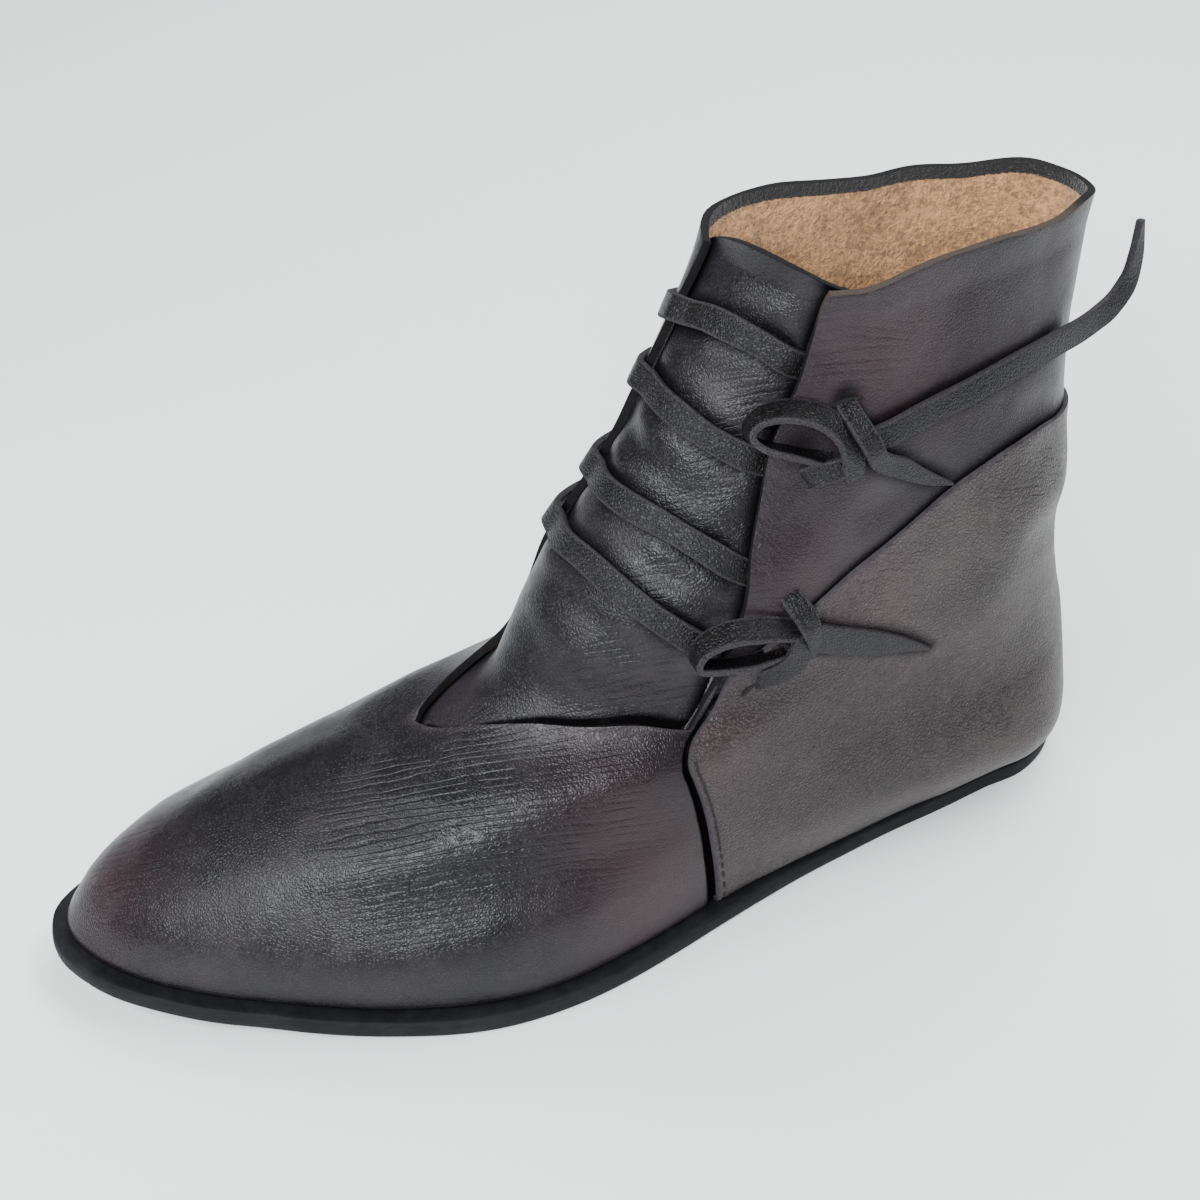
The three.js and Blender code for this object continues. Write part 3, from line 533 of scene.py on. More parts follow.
def section(width, thickness):
    """A cut strap's sections, from arrays of widths and thicknesses: flat boxes with rounded corners and
    slightly crowned faces. Gives x and y, and 1 on corners and 0 on faces."""
    corner = np.minimum(0.35, thickness * 0.45)
    ring = []
    for cx, cy, start in ((1, -1, -90), (1, 1, 0), (-1, 1, 90), (-1, -1, 180)):
        for step in range(4):
            angle = math.radians(start + 30 * step)
            ring.append((cx * (width / 2 - corner) + corner * math.cos(angle),
                         cy * (thickness / 2 - corner) + corner * math.sin(angle), 1.0))
        if cy * cx > 0:
            for share in (0.6, 0.0, -0.6):
                ring.append((cx * share * (width / 2 - corner),
                             cy * (thickness / 2) * (1.06 - 0.06 * abs(share)), 0.0))
    x, y, edge = zip(*ring)
    return np.stack(x, -1)[..., None], np.stack(y, -1)[..., None], edge


def sweep(name, centre, wide, thin, width, thickness, leather, replaces=()):
    """A strap: its section carried along a path whose points each have a wide and a thin direction."""
    n = len(centre)
    width = np.maximum(np.broadcast_to(width, n), 0.6)
    x, y, edge = section(width, np.full(n, max(thickness, 0.4)))
    points = centre[:, None] + x * wide[:, None] + y * thin[:, None]
    faces = tube_faces(n, len(edge))
    if np.dot(np.cross(wide[0], thin[0]), centre[1] - centre[0]) <= 0:
        faces = [f[:, ::-1] for f in faces]
    points = np.concatenate([points.reshape(-1, 3), [centre[0]], [centre[-1]]])
    piece = make_object(name, points, faces, replaces)
    piece.data.materials.append(leather)
    mark(piece, edge=np.r_[np.tile(edge, n), 1.0, 1.0])
    return piece


def strap_path(rows, steps):
    """Centre, wide and thin directions and width share along a table of places on the boot: the wide
    direction lies across the path on the last, and is turned about the path by the lean."""
    u, v, off, lean, share = along(rows, np.linspace(0, 1, steps))
    centre = place(u, v, off)
    tangent = unit(np.gradient(centre, axis=0))
    normal = directions(u, v)[2]
    across = unit(np.cross(tangent, normal))
    rise = unit(np.cross(across, tangent))
    angle = np.radians(lean)[:, None]
    wide = np.cos(angle) * across + np.sin(angle) * rise
    return centre, wide, unit(np.cross(wide, tangent)), share


# Materials

def scaled(colour, times):
    """A colour made darker or paler."""
    return [c * times for c in colour]


class Wire:
    """A value in a material, with the arithmetic of numbers."""

    def __init__(self, paint, socket):
        self.paint = paint
        self.socket = socket

    def math(self, operation, first, second):
        return self.paint.add("Math", {0: first, 1: second}, operation=operation)

    def __add__(self, other):
        return self.math("ADD", self, other)

    def __sub__(self, other):
        return self.math("SUBTRACT", self, other)

    def __rsub__(self, other):
        return self.math("SUBTRACT", other, self)

    def __mul__(self, other):
        return self.math("MULTIPLY", self, other)

    __radd__ = __add__
    __rmul__ = __mul__

    def clamp(self):
        """Kept from 0 to 1."""
        return self.paint.add("Clamp", {0: self})

    def step(self, low, high):
        """0 up to low, 1 from high on, and smooth between."""
        return self.paint.add("MapRange", {0: self, 1: low, 2: high, 3: 0.0, 4: 1.0},
                              interpolation_type="SMOOTHSTEP")


class Paint:
    """A material and its nodes."""

    def __init__(self, name):
        self.material = bpy.data.materials.new(name)
        self.material.use_nodes = True
        self.tree = self.material.node_tree
        self.tree.nodes.clear()

    def add(self, kind, inputs=None, output=0, **settings):
        """Adds a node: its settings first, then the values or wires of its sockets."""
        node = self.tree.nodes.new("ShaderNode" + kind)
        for name, value in settings.items():
            setattr(node, name, value)
        for name, value in (inputs or {}).items():
            if isinstance(value, Wire):
                self.tree.links.new(value.socket, node.inputs[name])
            else:
                node.inputs[name].default_value = value
        return Wire(self, node.outputs[output])

    def blend(self, share, first, second):
        """A colour between two, by a share that may be a wire."""
        colours = [c if isinstance(c, Wire) else (*tuple(c)[:3], 1.0) for c in (first, second)]
        return self.add("Mix", {0: share, 6: colours[0], 7: colours[1]}, output=2, data_type="RGBA")

    def noise(self, at, size, detail=3.0, rough=0.5, output=0):
        """Noise with features of about that size, in millimetres."""
        return self.add("TexNoise", {"Vector": at, "Scale": 1000.0 / size, "Detail": detail,
                                     "Roughness": rough}, output=output)

    def cells(self, at, size):
        """Cells of about that size, in millimetres: 0 on their borders and rising towards the middle."""
        return self.add("TexVoronoi", {"Vector": at, "Scale": 1000.0 / size}, feature="DISTANCE_TO_EDGE",
                        output="Distance")

    def bump(self, height, distance, strength=1.0):
        """A normal for a height, whose 1 stands for that many millimetres."""
        return self.add("Bump", {"Height": height, "Strength": strength, "Distance": distance * MM})

    def attribute(self, name):
        """The number that mark gave each vertex under that name."""
        return self.add("Attribute", attribute_name=name, output="Fac")

    def shader(self, **sockets):
        """A principled shader from sockets named with _ for spaces."""
        sockets = {name.replace("_", " "): value for name, value in sockets.items()}
        return self.add("BsdfPrincipled", sockets)

    def surface(self, settled=None, **sockets):
        """Ends the material. Where the shade share nears 1, a matt near-black shader lies over the rest as
        painted shade.
        """
        result = self.shader(**sockets)
        if settled is not None:
            # Painted shade: a matt near-black shader stands in for the shade in hollows, beside edges and
            # under straps.
            matt = self.shader(Base_Color=(0.0015, 0.0014, 0.0016, 1.0), Roughness=1.0,
                               Specular_IOR_Level=0.04)
            result = self.add("MixShader", {0: settled, 1: result, 2: matt})
        output = self.tree.nodes.new("ShaderNodeOutputMaterial")
        self.tree.links.new(result.socket, output.inputs[0])
        return self.material


def new_paint(name):
    """A new material and its Object coordinates."""
    paint = Paint(name)
    return paint, paint.add("TexCoord", output="Object")


def grain_leather(name, deep, worn, gloss, grain, relief, wrinkled, shine=0.27):
    """Pebbled grain leather: small cells with darker creases between larger fields, cloudy dye that is
    rubbed paler on the high spots, wrinkles where the flex attribute asks for them, and painted shade,
    a matt near-black shader, in the hollows and along edges and straps that the shade attribute marks."""
    paint, at = new_paint(name)
    warp = paint.noise(at, 3.0, 1.0, output="Color")
    bent = paint.add("VectorMath", {0: warp, 1: (1.2 * MM,) * 3, 2: at}, operation="MULTIPLY_ADD")
    pebbles = paint.cells(bent, grain).step(0.0, 0.30)
    fields = paint.cells(bent, grain * 4.5).step(0.0, 0.06)
    cloud = paint.noise(at, 30.0, 4.0, 0.6)
    mottle = paint.noise(at, 6.0, 3.0, 0.6)
    along_foot = paint.add("Mapping", {"Vector": at, "Rotation": (0.0, 0.0, -0.37),
                                       "Scale": (1.0, 9.0, -1.0)}, vector_type="TEXTURE")
    ripples = paint.add("TexWave", {"Vector": along_foot, "Scale": 235.0, "Distortion": 7.0, "Detail": 2.0,
                                    "Detail Scale": 0.7}, output="Fac", bands_direction="DIAGONAL")
    flex = paint.attribute("flex") * paint.noise(at, 8.0, 2.0).step(0.30, 0.55)
    furrows = 1.0 - (1.0 - ripples.step(0.0, 0.5)) * flex.clamp()
    height = pebbles + fields * 0.4 + furrows * wrinkled
    creased = pebbles * 0.45 + fields * 0.15 + furrows * 0.4 - 0.90
    rubbed = cloud.step(0.36, 0.68) * 0.6 + mottle.step(0.4, 0.75) * 0.3
    # The tone attribute lightens the dye: the leather's own paler places, and on the upper a painted
    # highlight along the vamp's top edge.
    colour = paint.blend((rubbed + creased + paint.attribute("tone")).clamp(), deep, worn)
    colour = paint.blend(paint.attribute("warm").clamp(), colour, (0.060, 0.024, 0.030))
    rough = gloss + mottle.step(0.3, 0.8) * 0.07 + cloud.step(0.35, 0.7) * 0.07
    # Painted shade: the shade mark, broken up a little by the mottle, mixes in the matt near-black shader.
    settled = (paint.attribute("settled") + mottle * 0.3 - 0.15).clamp()
    return paint.surface(settled=settled, Base_Color=colour, Roughness=rough,
                         Normal=paint.bump(height, relief), Specular_IOR_Level=shine)


def cut_edge(name, colour):
    """The raw edge of a hide: dyed fibres, uneven and matt, and paler where the pale attribute says so."""
    paint, at = new_paint(name)
    fibres = paint.noise(at, 0.35, 4.0, 0.7)
    clumps = paint.noise(at, 2.4, 2.0)
    shade = paint.blend((fibres * 0.7 + clumps * 0.5).step(0.35, 0.9), scaled(colour, 0.45), colour)
    shade = paint.blend((paint.attribute("pale") * fibres * 1.6).clamp(), shade, (0.055, 0.042, 0.033))
    return paint.surface(Base_Color=shade, Roughness=0.9, Normal=paint.bump(fibres + clumps, 0.2),
                         Specular_IOR_Level=0.15)


def suede(name, light):
    """The flesh side: short nap in clumps, brushed lighter and darker, with the dye that ran over its
    edge where the dyed attribute says so."""
    paint, at = new_paint(name)
    nap = paint.noise(at, 1.1, 3.0, 0.7)
    clumps = paint.noise(at, 3.2, 4.0, 0.75)
    brushed = paint.noise(at, 20.0, 3.0, 0.6)
    share = (nap * 0.5 + clumps * 0.5 + brushed * 0.25).step(0.46, 0.80)
    colour = paint.blend(share, scaled(light, 0.30), light)
    dyed = (paint.attribute("dyed") * 1.6 + nap - 1.1).step(0.0, 0.3)
    colour = paint.blend(dyed, colour, (0.006, 0.005, 0.006))
    return paint.surface(Base_Color=colour, Roughness=0.95, Normal=paint.bump(nap + clumps * 1.4, 1.2),
                         Sheen_Weight=0.25, Sheen_Roughness=0.5)


def thong_leather(name, colour, edge_colour):
    """A cut strap of dark leather, smooth on its faces, with paler rough edges."""
    paint, at = new_paint(name)
    fine = paint.noise(at, 0.5, 3.0, 0.6)
    cloud = paint.noise(at, 9.0, 4.0, 0.6)
    pebbles = paint.cells(at, 0.9).step(0.0, 0.3)
    share = cloud.step(0.35, 0.75) * 0.7 + pebbles * 0.6 - 0.3
    face = paint.blend(share.clamp(), scaled(colour, 0.4), scaled(colour, 1.9))
    edge = paint.attribute("edge").step(0.60, 0.95)
    shade = paint.blend(edge * fine.step(0.25, 0.65), face, edge_colour)
    rough = 0.36 + edge * 0.35 + cloud * 0.1
    return paint.surface(Base_Color=shade, Roughness=rough, Normal=paint.bump(fine * 0.6 + pebbles, 0.12),
                         Specular_IOR_Level=0.27)


def sole_rubber(name, colour):
    """A dark matt sole, scuffed lightly along its side."""
    paint, at = new_paint(name)
    flat = paint.add("Mapping", {"Vector": at, "Scale": (0.35, 0.35, 1.6)})
    scuffs = paint.noise(flat, 1.6, 5.0, 0.7)
    share = (scuffs * 0.6 + paint.noise(at, 22.0, 3.0) * 0.5).step(0.4, 0.8)
    shade = paint.blend(share, scaled(colour, 0.6), scaled(colour, 1.7))
    return paint.surface(Base_Color=shade, Roughness=0.7, Normal=paint.bump(scuffs, 0.3, 0.8),
                         Specular_IOR_Level=0.16)


def plain(name, colour, rough):
    """One colour with a little cloudiness."""
    paint, at = new_paint(name)
    shade = paint.blend(paint.noise(at, 1.2, 3.0).step(0.3, 0.8), scaled(colour, 0.8), colour)
    return paint.surface(Base_Color=shade, Roughness=rough)


# What a user would change

def metres(name, description, default, low, high):
    """A length in metres."""
    return bpy.props.FloatProperty(name=name, description=description, default=default, min=low, max=high,
                                   precision=4, unit="LENGTH")


def dye(name, description, default):
    """A linear colour."""
    return bpy.props.FloatVectorProperty(name=name, description=description, default=default, min=0, max=1,
                                         subtype="COLOR")


def watts(name, description, default):
    """A lamp's power in watts."""
    return bpy.props.FloatProperty(name=name, description=description, default=default, min=0, unit="POWER")


class BootSizes(bpy.types.PropertyGroup):
    wall: metres("Upper's wall", "Thickness of the upper's leather", 0.002, 0.001, 0.004)
    quarter: metres("Quarter's wall", "Thickness of the heel quarter's leather", 0.0018, 0.001, 0.004)
    quarter_proud: metres("Quarter proud", "How far the quarter stands out", 0.001, 0.0, 0.003)
    thong_width: metres("Thong's width", "Width of the flat thongs", 0.0065, 0.003, 0.012)
    thong: metres("Thong's thickness", "Thickness of the flat thongs", 0.0017, 0.0008, 0.003)
    folds: bpy.props.FloatProperty(name="Folds", description="Depth of the folds, 1 as worn in the photo",
                                   default=1.0, min=0.0, max=2.0)


class BootFinish(bpy.types.PropertyGroup):
    vamp: dye("Upper, deep", "The upper's dye in the grain", (0.0055, 0.0050, 0.0062))
    vamp_worn: dye("Upper, rubbed", "The upper's dye on high spots", (0.024, 0.0195, 0.0235))
    quarter: dye("Quarter, deep", "The quarter's dye in the grain", (0.014, 0.0110, 0.0115))
    quarter_worn: dye("Quarter, rubbed", "The quarter's rubbed dye", (0.056, 0.045, 0.044))
    thong: dye("Thongs", "The thongs' dye", (0.0050, 0.0044, 0.0050))
    edge: dye("Cut edges", "The cut edges of the leathers", (0.010, 0.009, 0.010))
    suede: dye("Flesh side", "The nap inside the boot", (0.72, 0.385, 0.16))
    sole: dye("Sole", "The sole's rubber", (0.008, 0.008, 0.009))


class StageSettings(bpy.types.PropertyGroup):
    floor: dye("Floor", "Colour of the floor", (0.90, 0.90, 0.90))
    front: watts("Front softbox", "Power of the light before the toe", 8.0)
    side: watts("Side softbox", "Power of the light over the outer side", 14.0)
    back: watts("Back softbox", "Power of the light behind the heel", 34.0)
    sky: bpy.props.FloatProperty(name="Surroundings", description="Strength of the white all round",
                                 default=0.20, min=0)


# Pieces

def seam_distance(u, v):
    """Millimetres from the quarter's front edge, towards the toe."""
    v = np.clip(v, 0, SEAM_TOP)
    return (u - edge_u(QUARTER_NEAR, v)) * np.linalg.norm(directions(u, v)[0], axis=-1)


def slant_distance(u, v):
    """Millimetres above the quarter's slanting top edge."""
    return (v - edge_v(QUARTER_HIGH[::-1], u)) * np.linalg.norm(directions(u, v)[1], axis=-1)


def upper_places():
    """u and v of the upper's grid: a closed block up to the throat, whose columns follow the seam, and
    an open block from there to the collar, between the flaps' edges. The columns stand denser where the
    quarter's inner edge lies."""
    far, near = THROAT_FAR[0], THROAT_NEAR[0]
    seam_top = 0.3135
    back = np.r_[np.linspace(far[0] - 1, -0.28, 18, endpoint=False),
                 np.linspace(-0.28, -0.17, 26, endpoint=False),
                 np.linspace(-0.17, 0, 18, endpoint=False), np.linspace(0, seam_top, 80)]
    strip = np.linspace(0, 1, 22)[1:]
    front = np.linspace(0, 1, 150)[1:-1]
    t = (np.linspace(0, 1, 98) ** 0.9)[:, None]

    def join(u):
        return far[1] + (near[1] - far[1]) * (u - far[0] + 1) / (near[0] - far[0] + 1)

    v_back = join(back)[None] * t
    at_seam = edge_u(QUARTER_NEAR, join(np.array([seam_top]))[0] * t)
    share = (back - back[0]) / (back[-1] - back[0])
    u_back = back[0] + (at_seam - back[0]) * share[None]
    near_line = at_seam + (near[0] - seam_top) + 0.020 * (1 - t)
    top_u = seam_top + (near[0] - seam_top) * strip
    u_strip = at_seam + (near_line - at_seam) * strip[None]
    v_strip = join(top_u)[None] * t
    u_front = near_line + (far[0] - near_line) * front[None]
    front_top = near[0] + (far[0] - near[0]) * front
    v_front = edge_v(THROAT_LOW, front_top)[None] * t
    low = np.concatenate([u_back, u_strip, u_front], 1), np.concatenate([v_back, v_strip, v_front], 1)
    across = np.r_[back, top_u]
    a = ((across - across[0]) / (across[-1] - across[0]))[None]
    r = np.linspace(0, 1, 88)[1:, None]
    v_near = near[1] + (1 - near[1]) * r
    v_far = far[1] + (1 - far[1]) * r
    u_near = edge_u(THROAT_NEAR, v_near)
    u_far = edge_u(THROAT_FAR, v_far) - 1
    high = u_far + (u_near - u_far) * a, v_far + (v_near - v_far) * a
    return low, high


def upper_height(u, v, folds):
    """The upper's face over the last: lifted flaps, a dip under the heel quarter, a hollow along the
    seam, a foot tucked in over the sole, folds and swells."""
    points = last(u, v)
    seam = np.where(v > SEAM_TOP, FAR_OFF, seam_distance(u, v))
    slant = slant_distance(u, v)
    inner = (edge_u(QUARTER_FAR, v) - u) * 300
    outside = np.maximum(np.maximum(seam, slant), inner)
    dip = -DIP * (1 - ramp(0.3, 2.6, outside))
    gap = SEAM_GAP - SEAM_CLOSES * np.clip(v / 0.43, 0, 1)
    hollow = -HOLLOW * ramp(-1.5, 0.0, seam) * (1 - ramp(gap * 0.55, gap + 1.3, seam)) * (slant < 0)
    off_floor = over_floor(points)
    height = flap_off(np.mod(u, 1.0), v) + dip + hollow - TUCK * past(off_floor, 1.6)
    height = np.maximum(height, -DEEPEST - 3.0 * ramp(2.0, 5.0, off_floor))
    height = height + folds * (troughs(points, VAMP_FOLDS) + troughs(points, SHAFT_FOLDS))
    swell = waves(points, 38.0, 5) * 0.28 + waves(points, 15.0, 8) * 0.10
    return height + folds * swell * ramp(0.02, 0.1, v)


def spots(points, rows):
    """Soft round spots: each is as strong as its first number at its x, y and z, in millimetres, and
    falls as a bell over its radius."""
    return sum(strength * bell(np.linalg.norm(points - centre, axis=-1), radius)
               for strength, *centre, radius in rows)


def shade_beside_straps(points, straps, loop):
    """Painted shade along straps: strong at their edges, gone a few millimetres off, and a spot of it
    under the loop."""
    middle = last(*np.mean([row[:2] for row in loop], axis=0))[0]
    result = spots(points, [(0.85, *middle, 5.0)])
    for rows in straps:
        columns = along(rows, np.linspace(0, 1, 40))
        line = last(*columns[:2])
        half = 2.7 * (columns[4] if len(columns) > 4 else np.ones(40))
        near = np.where(np.linalg.norm(points - line.mean(axis=0), axis=-1) < 70)
        apart = np.min(np.linalg.norm(points[near][:, None] - line, axis=-1) - half, axis=-1)
        result[near] = np.maximum(result[near], 0.8 * past(apart, 2.0))
    return result


def most(*numbers):
    """The largest of several arrays, point by point."""
    return np.maximum.reduce(np.broadcast_arrays(*numbers))


class BOOT_OT_upper(bpy.types.Operator):
    """Make the upper: vamp, sides, shaft and the flaps with their raw edges"""
    bl_idname = "boot.upper"
    bl_label = "Upper"

    def execute(self, context):
        sizes, finish = context.scene.boot_sizes, context.scene.boot_finish
        (low_u, low_v), (high_u, high_v) = upper_places()
        low = place(low_u, low_v, upper_height(low_u, low_v, sizes.folds))
        high = place(high_u, high_v, upper_height(high_u, high_v, sizes.folds))
        high[..., 2] += ramp(0.93, 1.0, high_v) * (edge_v(RIM, high_u) + 0.2 * np.sin(high_u * 61 + 2.0))
        rows, columns = low_u.shape
        open_columns = high_u.shape[1]
        # The open block's rows go on from the first columns of the closed block's top row
        joint = np.concatenate([(rows - 1) * columns + np.arange(open_columns),
                                rows * columns + np.arange(high_u.size)])
        points = np.concatenate([low.reshape(-1, 3), high.reshape(-1, 3)])
        faces = np.concatenate([grid_faces(rows, columns, closed=True),
                                joint[grid_faces(high_u.shape[0] + 1, open_columns)]])
        piece = make_object("upper_leather", points, [outward_faces(points, faces)],
                            ["upper"])
        self.mark_skin(piece, points, np.r_[low_u.ravel(), high_u.ravel()],
                       np.r_[low_v.ravel(), high_v.ravel()])
        outside = grain_leather("Upper grain", finish.vamp, finish.vamp_worn, 0.31, 0.85, 0.050, 3.4)
        give_thickness(piece, sizes.wall / MM, [outside, suede("Flesh side", finish.suede),
                                                cut_edge("Upper edge", finish.edge)])
        return {"FINISHED"}

    def mark_skin(self, piece, points, u, v):
        """Rubbed, warm, flexed, dyed and pale places, a painted highlight along the vamp's top edge, and
        painted shade along the quarter's slanting edge, the seam, the sole and the straps.
        """
        front = np.mod(u, 1.0)
        shaft = ramp(0.44, 0.50, v) * (front < 0.42)
        under_lip = np.where((front > 0.3) & (front < 0.53), np.abs(v - edge_v(THROAT_LOW, front)), 9.0)
        beside = np.minimum(np.abs(u - edge_u(THROAT_NEAR, v)), np.abs(u + 1 - edge_u(THROAT_FAR, v)))
        at_seam = np.where(v < 0.5, np.abs(seam_distance(u, v)), FAR_OFF)
        slant = slant_distance(u, v)
        margin = most(1 - ramp(0.04, 0.05, beside), 1 - ramp(0.05, 0.07, under_lip),
                      1 - ramp(4.0, 6.0, at_seam)) * (1 - ramp(0.955, 0.975, v))
        # Painted shadow on the shaft just above the quarter's slanting edge.
        shadow_over_slant = past(slant, 2.6) * (slant > -3) * ramp(0.5, 0.56, v) * (u > -0.2)
        # The tone's narrow band along the vamp's top edge is a painted highlight on the lip; the rest is
        # the shaft's paler leather.
        mark(piece, tone=0.45 * shaft - 0.05 + 0.9 * bell(under_lip, 0.006),
             warm=spots(points, [(0.35, 46, -8, 25, 18), (0.25, -19, -128, 25, 16), (0.25, 33, 37, 100, 14),
                                 (0.3, 27, 60, 150, 20), (0.2, 37, -15, 50, 16)]),
             flex=spots(points, [(1.0, 16, -62, 54, 17), (1.0, 30, -44, 54, 17), (1.0, 37, -24, 54, 17),
                                 (1.0, 30, -62, 44, 14), (0.7, -20, -126, 28, 12), (0.8, 36, 20, 80, 18),
                                 (0.5, 27, 49, 155, 14)]),
             dyed=np.maximum(margin, 0.9 * ramp(0.980, 0.990, v)),
             pale=ramp(0.95, 0.99, v) * ramp(0.10, 0.14, u),
             # Painted shade: above the quarter's slanting edge, along the seam, along the sole, beside the
             # straps and under the loop.
             settled=most(shadow_over_slant, bell(at_seam, 2.4), 0.8 * past(over_floor(points), 1.7),
                          shade_beside_straps(points, [UPPER_LONG_END, UPPER_SHORT_END], UPPER_LOOP)))


def quarter_height(u, v):
    """The heel quarter's face over the last: proud of the upper, more so along its slanting edge, with
    a stitched groove beside its front edge."""
    lifted = 0.5 * bell(slant_distance(u, v), 4.0)
    groove = -0.30 * bell(seam_distance(u, v) + STITCH_INSET, 0.5) * (1 - ramp(0.42, 0.46, v))
    return flap_off(np.mod(u, 1.0), v) + lifted + groove


class BOOT_OT_heel_quarter(bpy.types.Operator):
    """Make the heel quarter that laps over the shaft, with its stitches"""
    bl_idname = "boot.heel_quarter"
    bl_label = "Heel quarter"

    def execute(self, context):
        sizes, finish = context.scene.boot_sizes, context.scene.boot_finish
        columns, rows = 330, 112
        low = [QUARTER_NEAR[0], QUARTER_FAR[0]]
        u, v = patch(QUARTER_NEAR, QUARTER_FAR, low, QUARTER_HIGH, columns, rows)
        points = last(u, v)
        height = quarter_height(u, v) + sizes.quarter_proud / MM - 1.6 * past(over_floor(points), 1.6)
        swell = waves(points, 42.0, 3) * 0.3 + waves(points, 14.0, 6) * 0.08
        skin = place(u, v, height + sizes.folds * (troughs(points, HEEL_FOLDS) + swell))
        skin[..., 2] = np.maximum(skin[..., 2], SOLE - 0.4)
        faces = outward_faces(skin, grid_faces(rows, columns))
        piece = make_object("heel_quarter_leather", skin, [faces], ["heel_quarter"])
        mark(piece, tone=0.2 + 0.12 * waves(points, 60.0, 12),
             warm=spots(points, [(0.22, 38, 12, 55, 16), (0.3, 36, 48, 93, 20), (0.15, 35, 70, 60, 16)]),
             flex=0.06 + spots(points, [(0.9, 30, 112, 102, 16), (0.5, 35, 60, 92, 12)]),
             # Painted shade along the sole and beside the lower thong's end and loop.
             settled=most(0.8 * past(over_floor(skin), 1.7),
                          shade_beside_straps(points, [LOWER_END], LOWER_LOOP)))
        outside = grain_leather("Quarter grain", finish.quarter, finish.quarter_worn, 0.34, 1.05, 0.140,
                                1.1, 0.30)
        give_thickness(piece, sizes.quarter / MM, [outside, cut_edge("Quarter flesh", finish.edge),
                                                   cut_edge("Quarter edge", scaled(finish.edge, 7.0))])
        self.stitches()
        return {"FINISHED"}

    def stitches(self):
        """A row of short thread stitches behind the front edge. Each is a small bead: an ellipsoid that
        is long along the row."""
        count, around, long, wide, high = 22, 8, 1.3, 0.38, 0.30
        v = 0.44 * np.linspace(0.03, 0.80, count)
        seam = edge_u(QUARTER_NEAR, v)
        u = seam - STITCH_INSET / np.linalg.norm(directions(seam, v)[0], axis=-1)
        centre = place(u, v, quarter_height(u, v) + 1.05)
        way = unit(np.gradient(centre, axis=0))
        out = directions(u, v)[2]
        side = unit(np.cross(way, out))
        angle = np.linspace(0, 2 * np.pi, around, endpoint=False)
        lean = np.linspace(0, np.pi, 7)[1:-1, None]
        body = np.stack([np.cos(lean) * np.ones(around) * long, np.sin(lean) * np.cos(angle) * wide,
                         np.sin(lean) * np.sin(angle) * high], -1).reshape(-1, 3)
        body = np.concatenate([body, [[long, 0, 0], [-long, 0, 0]]])
        points = (centre[:, None] + body[None, :, :1] * way[:, None] + body[None, :, 1:2] * side[:, None]
                  + body[None, :, 2:] * out[:, None])
        shift = (np.arange(count) * len(body))[:, None, None]
        faces = [(f[None] + shift).reshape(-1, f.shape[1]) for f in tube_faces(len(lean), around)]
        piece = make_object("seam_stitches", points, faces)
        piece.data.materials.append(plain("Thread", (0.006, 0.005, 0.005), 0.9))


class BOOT_OT_tongue(bpy.types.Operator):
    """Make the tongue that lies under the vamp's edge and both flaps"""
    bl_idname = "boot.tongue"
    bl_label = "Tongue"

    def execute(self, context):
        sizes, finish = context.scene.boot_sizes, context.scene.boot_finish
        columns, rows = 170, 190
        low = [TONGUE_NEAR[0], TONGUE_FAR[0]]
        u, v = patch(TONGUE_NEAR, TONGUE_FAR, low, TONGUE_HIGH, columns, rows)
        points = last(u, v)
        past_near, before_far = u - edge_u(THROAT_NEAR, v), edge_u(THROAT_FAR, v) - u
        open_part = ramp(0.0, 0.02, past_near) * ramp(0.0, 0.02, before_far)
        swell = waves(points, 20.0, 21) * 0.3 + waves(points, 9.0, 22) * 0.10
        folds = troughs(points, TONGUE_FOLDS) * 0.9 + swell + self.pressed(points)
        flat = FLAP_LIFT - UPPER_WALL - 1.7 * GAP
        tucked = -UPPER_WALL - 2 * GAP
        height = tucked + (flat - tucked) * ramp(0.50, 0.60, v)
        skin = place(u, v, height + sizes.folds * open_part * folds)
        faces = outward_faces(skin, grid_faces(rows, columns))
        piece = make_object("tongue_leather", skin, [faces], ["tongue"])
        wide, tall = (np.linalg.norm(way, axis=-1) for way in directions(u, v)[:2])
        lip = (v - edge_v(THROAT_LOW, u)) * tall
        mark(piece, tone=0.05 + 0.15 * waves(points, 22.0, 31), warm=np.zeros(u.size),
             flex=0.15 + spots(points, [(0.7, 20, 0, 85, 20), (0.6, 18, 28, 140, 18)]),
             # Painted shade: under the vamp's top edge, beside both flaps' edges, and beside the bars and
             # the lower loop.
             settled=most(past(lip - 2.0, 0.9) * (u < 0.51), past(past_near * wide, 2.6),
                          past(before_far * wide, 2.2), shade_beside_straps(points, BARS.values(), LOWER_LOOP)),
             dyed=1 - ramp(0.90, 0.95, v) * ramp(0.0, 0.03, u - edge_u(TONGUE_NEAR, v)))
        outside = grain_leather("Tongue grain", finish.vamp, finish.vamp_worn, 0.33, 0.9, 0.055, 2.0)
        give_thickness(piece, TONGUE_WALL, [outside, suede("Tongue flesh side", finish.suede),
                                            cut_edge("Tongue edge", finish.edge)])
        return {"FINISHED"}

    def pressed(self, points):
        """The bars press the tongue in: a trough under each, and a low swell on both sides of it."""
        height = np.zeros(points.shape[:-1])
        for rows in BARS.values():
            line = last(*along(rows, np.linspace(0, 1, 30)))
            apart = np.min(np.linalg.norm(points[..., None, :] - line, axis=-1), axis=-1)
            height -= 0.55 * bell(apart, 4.2) - 0.35 * bell(apart - 7.0, 3.0)
        return height


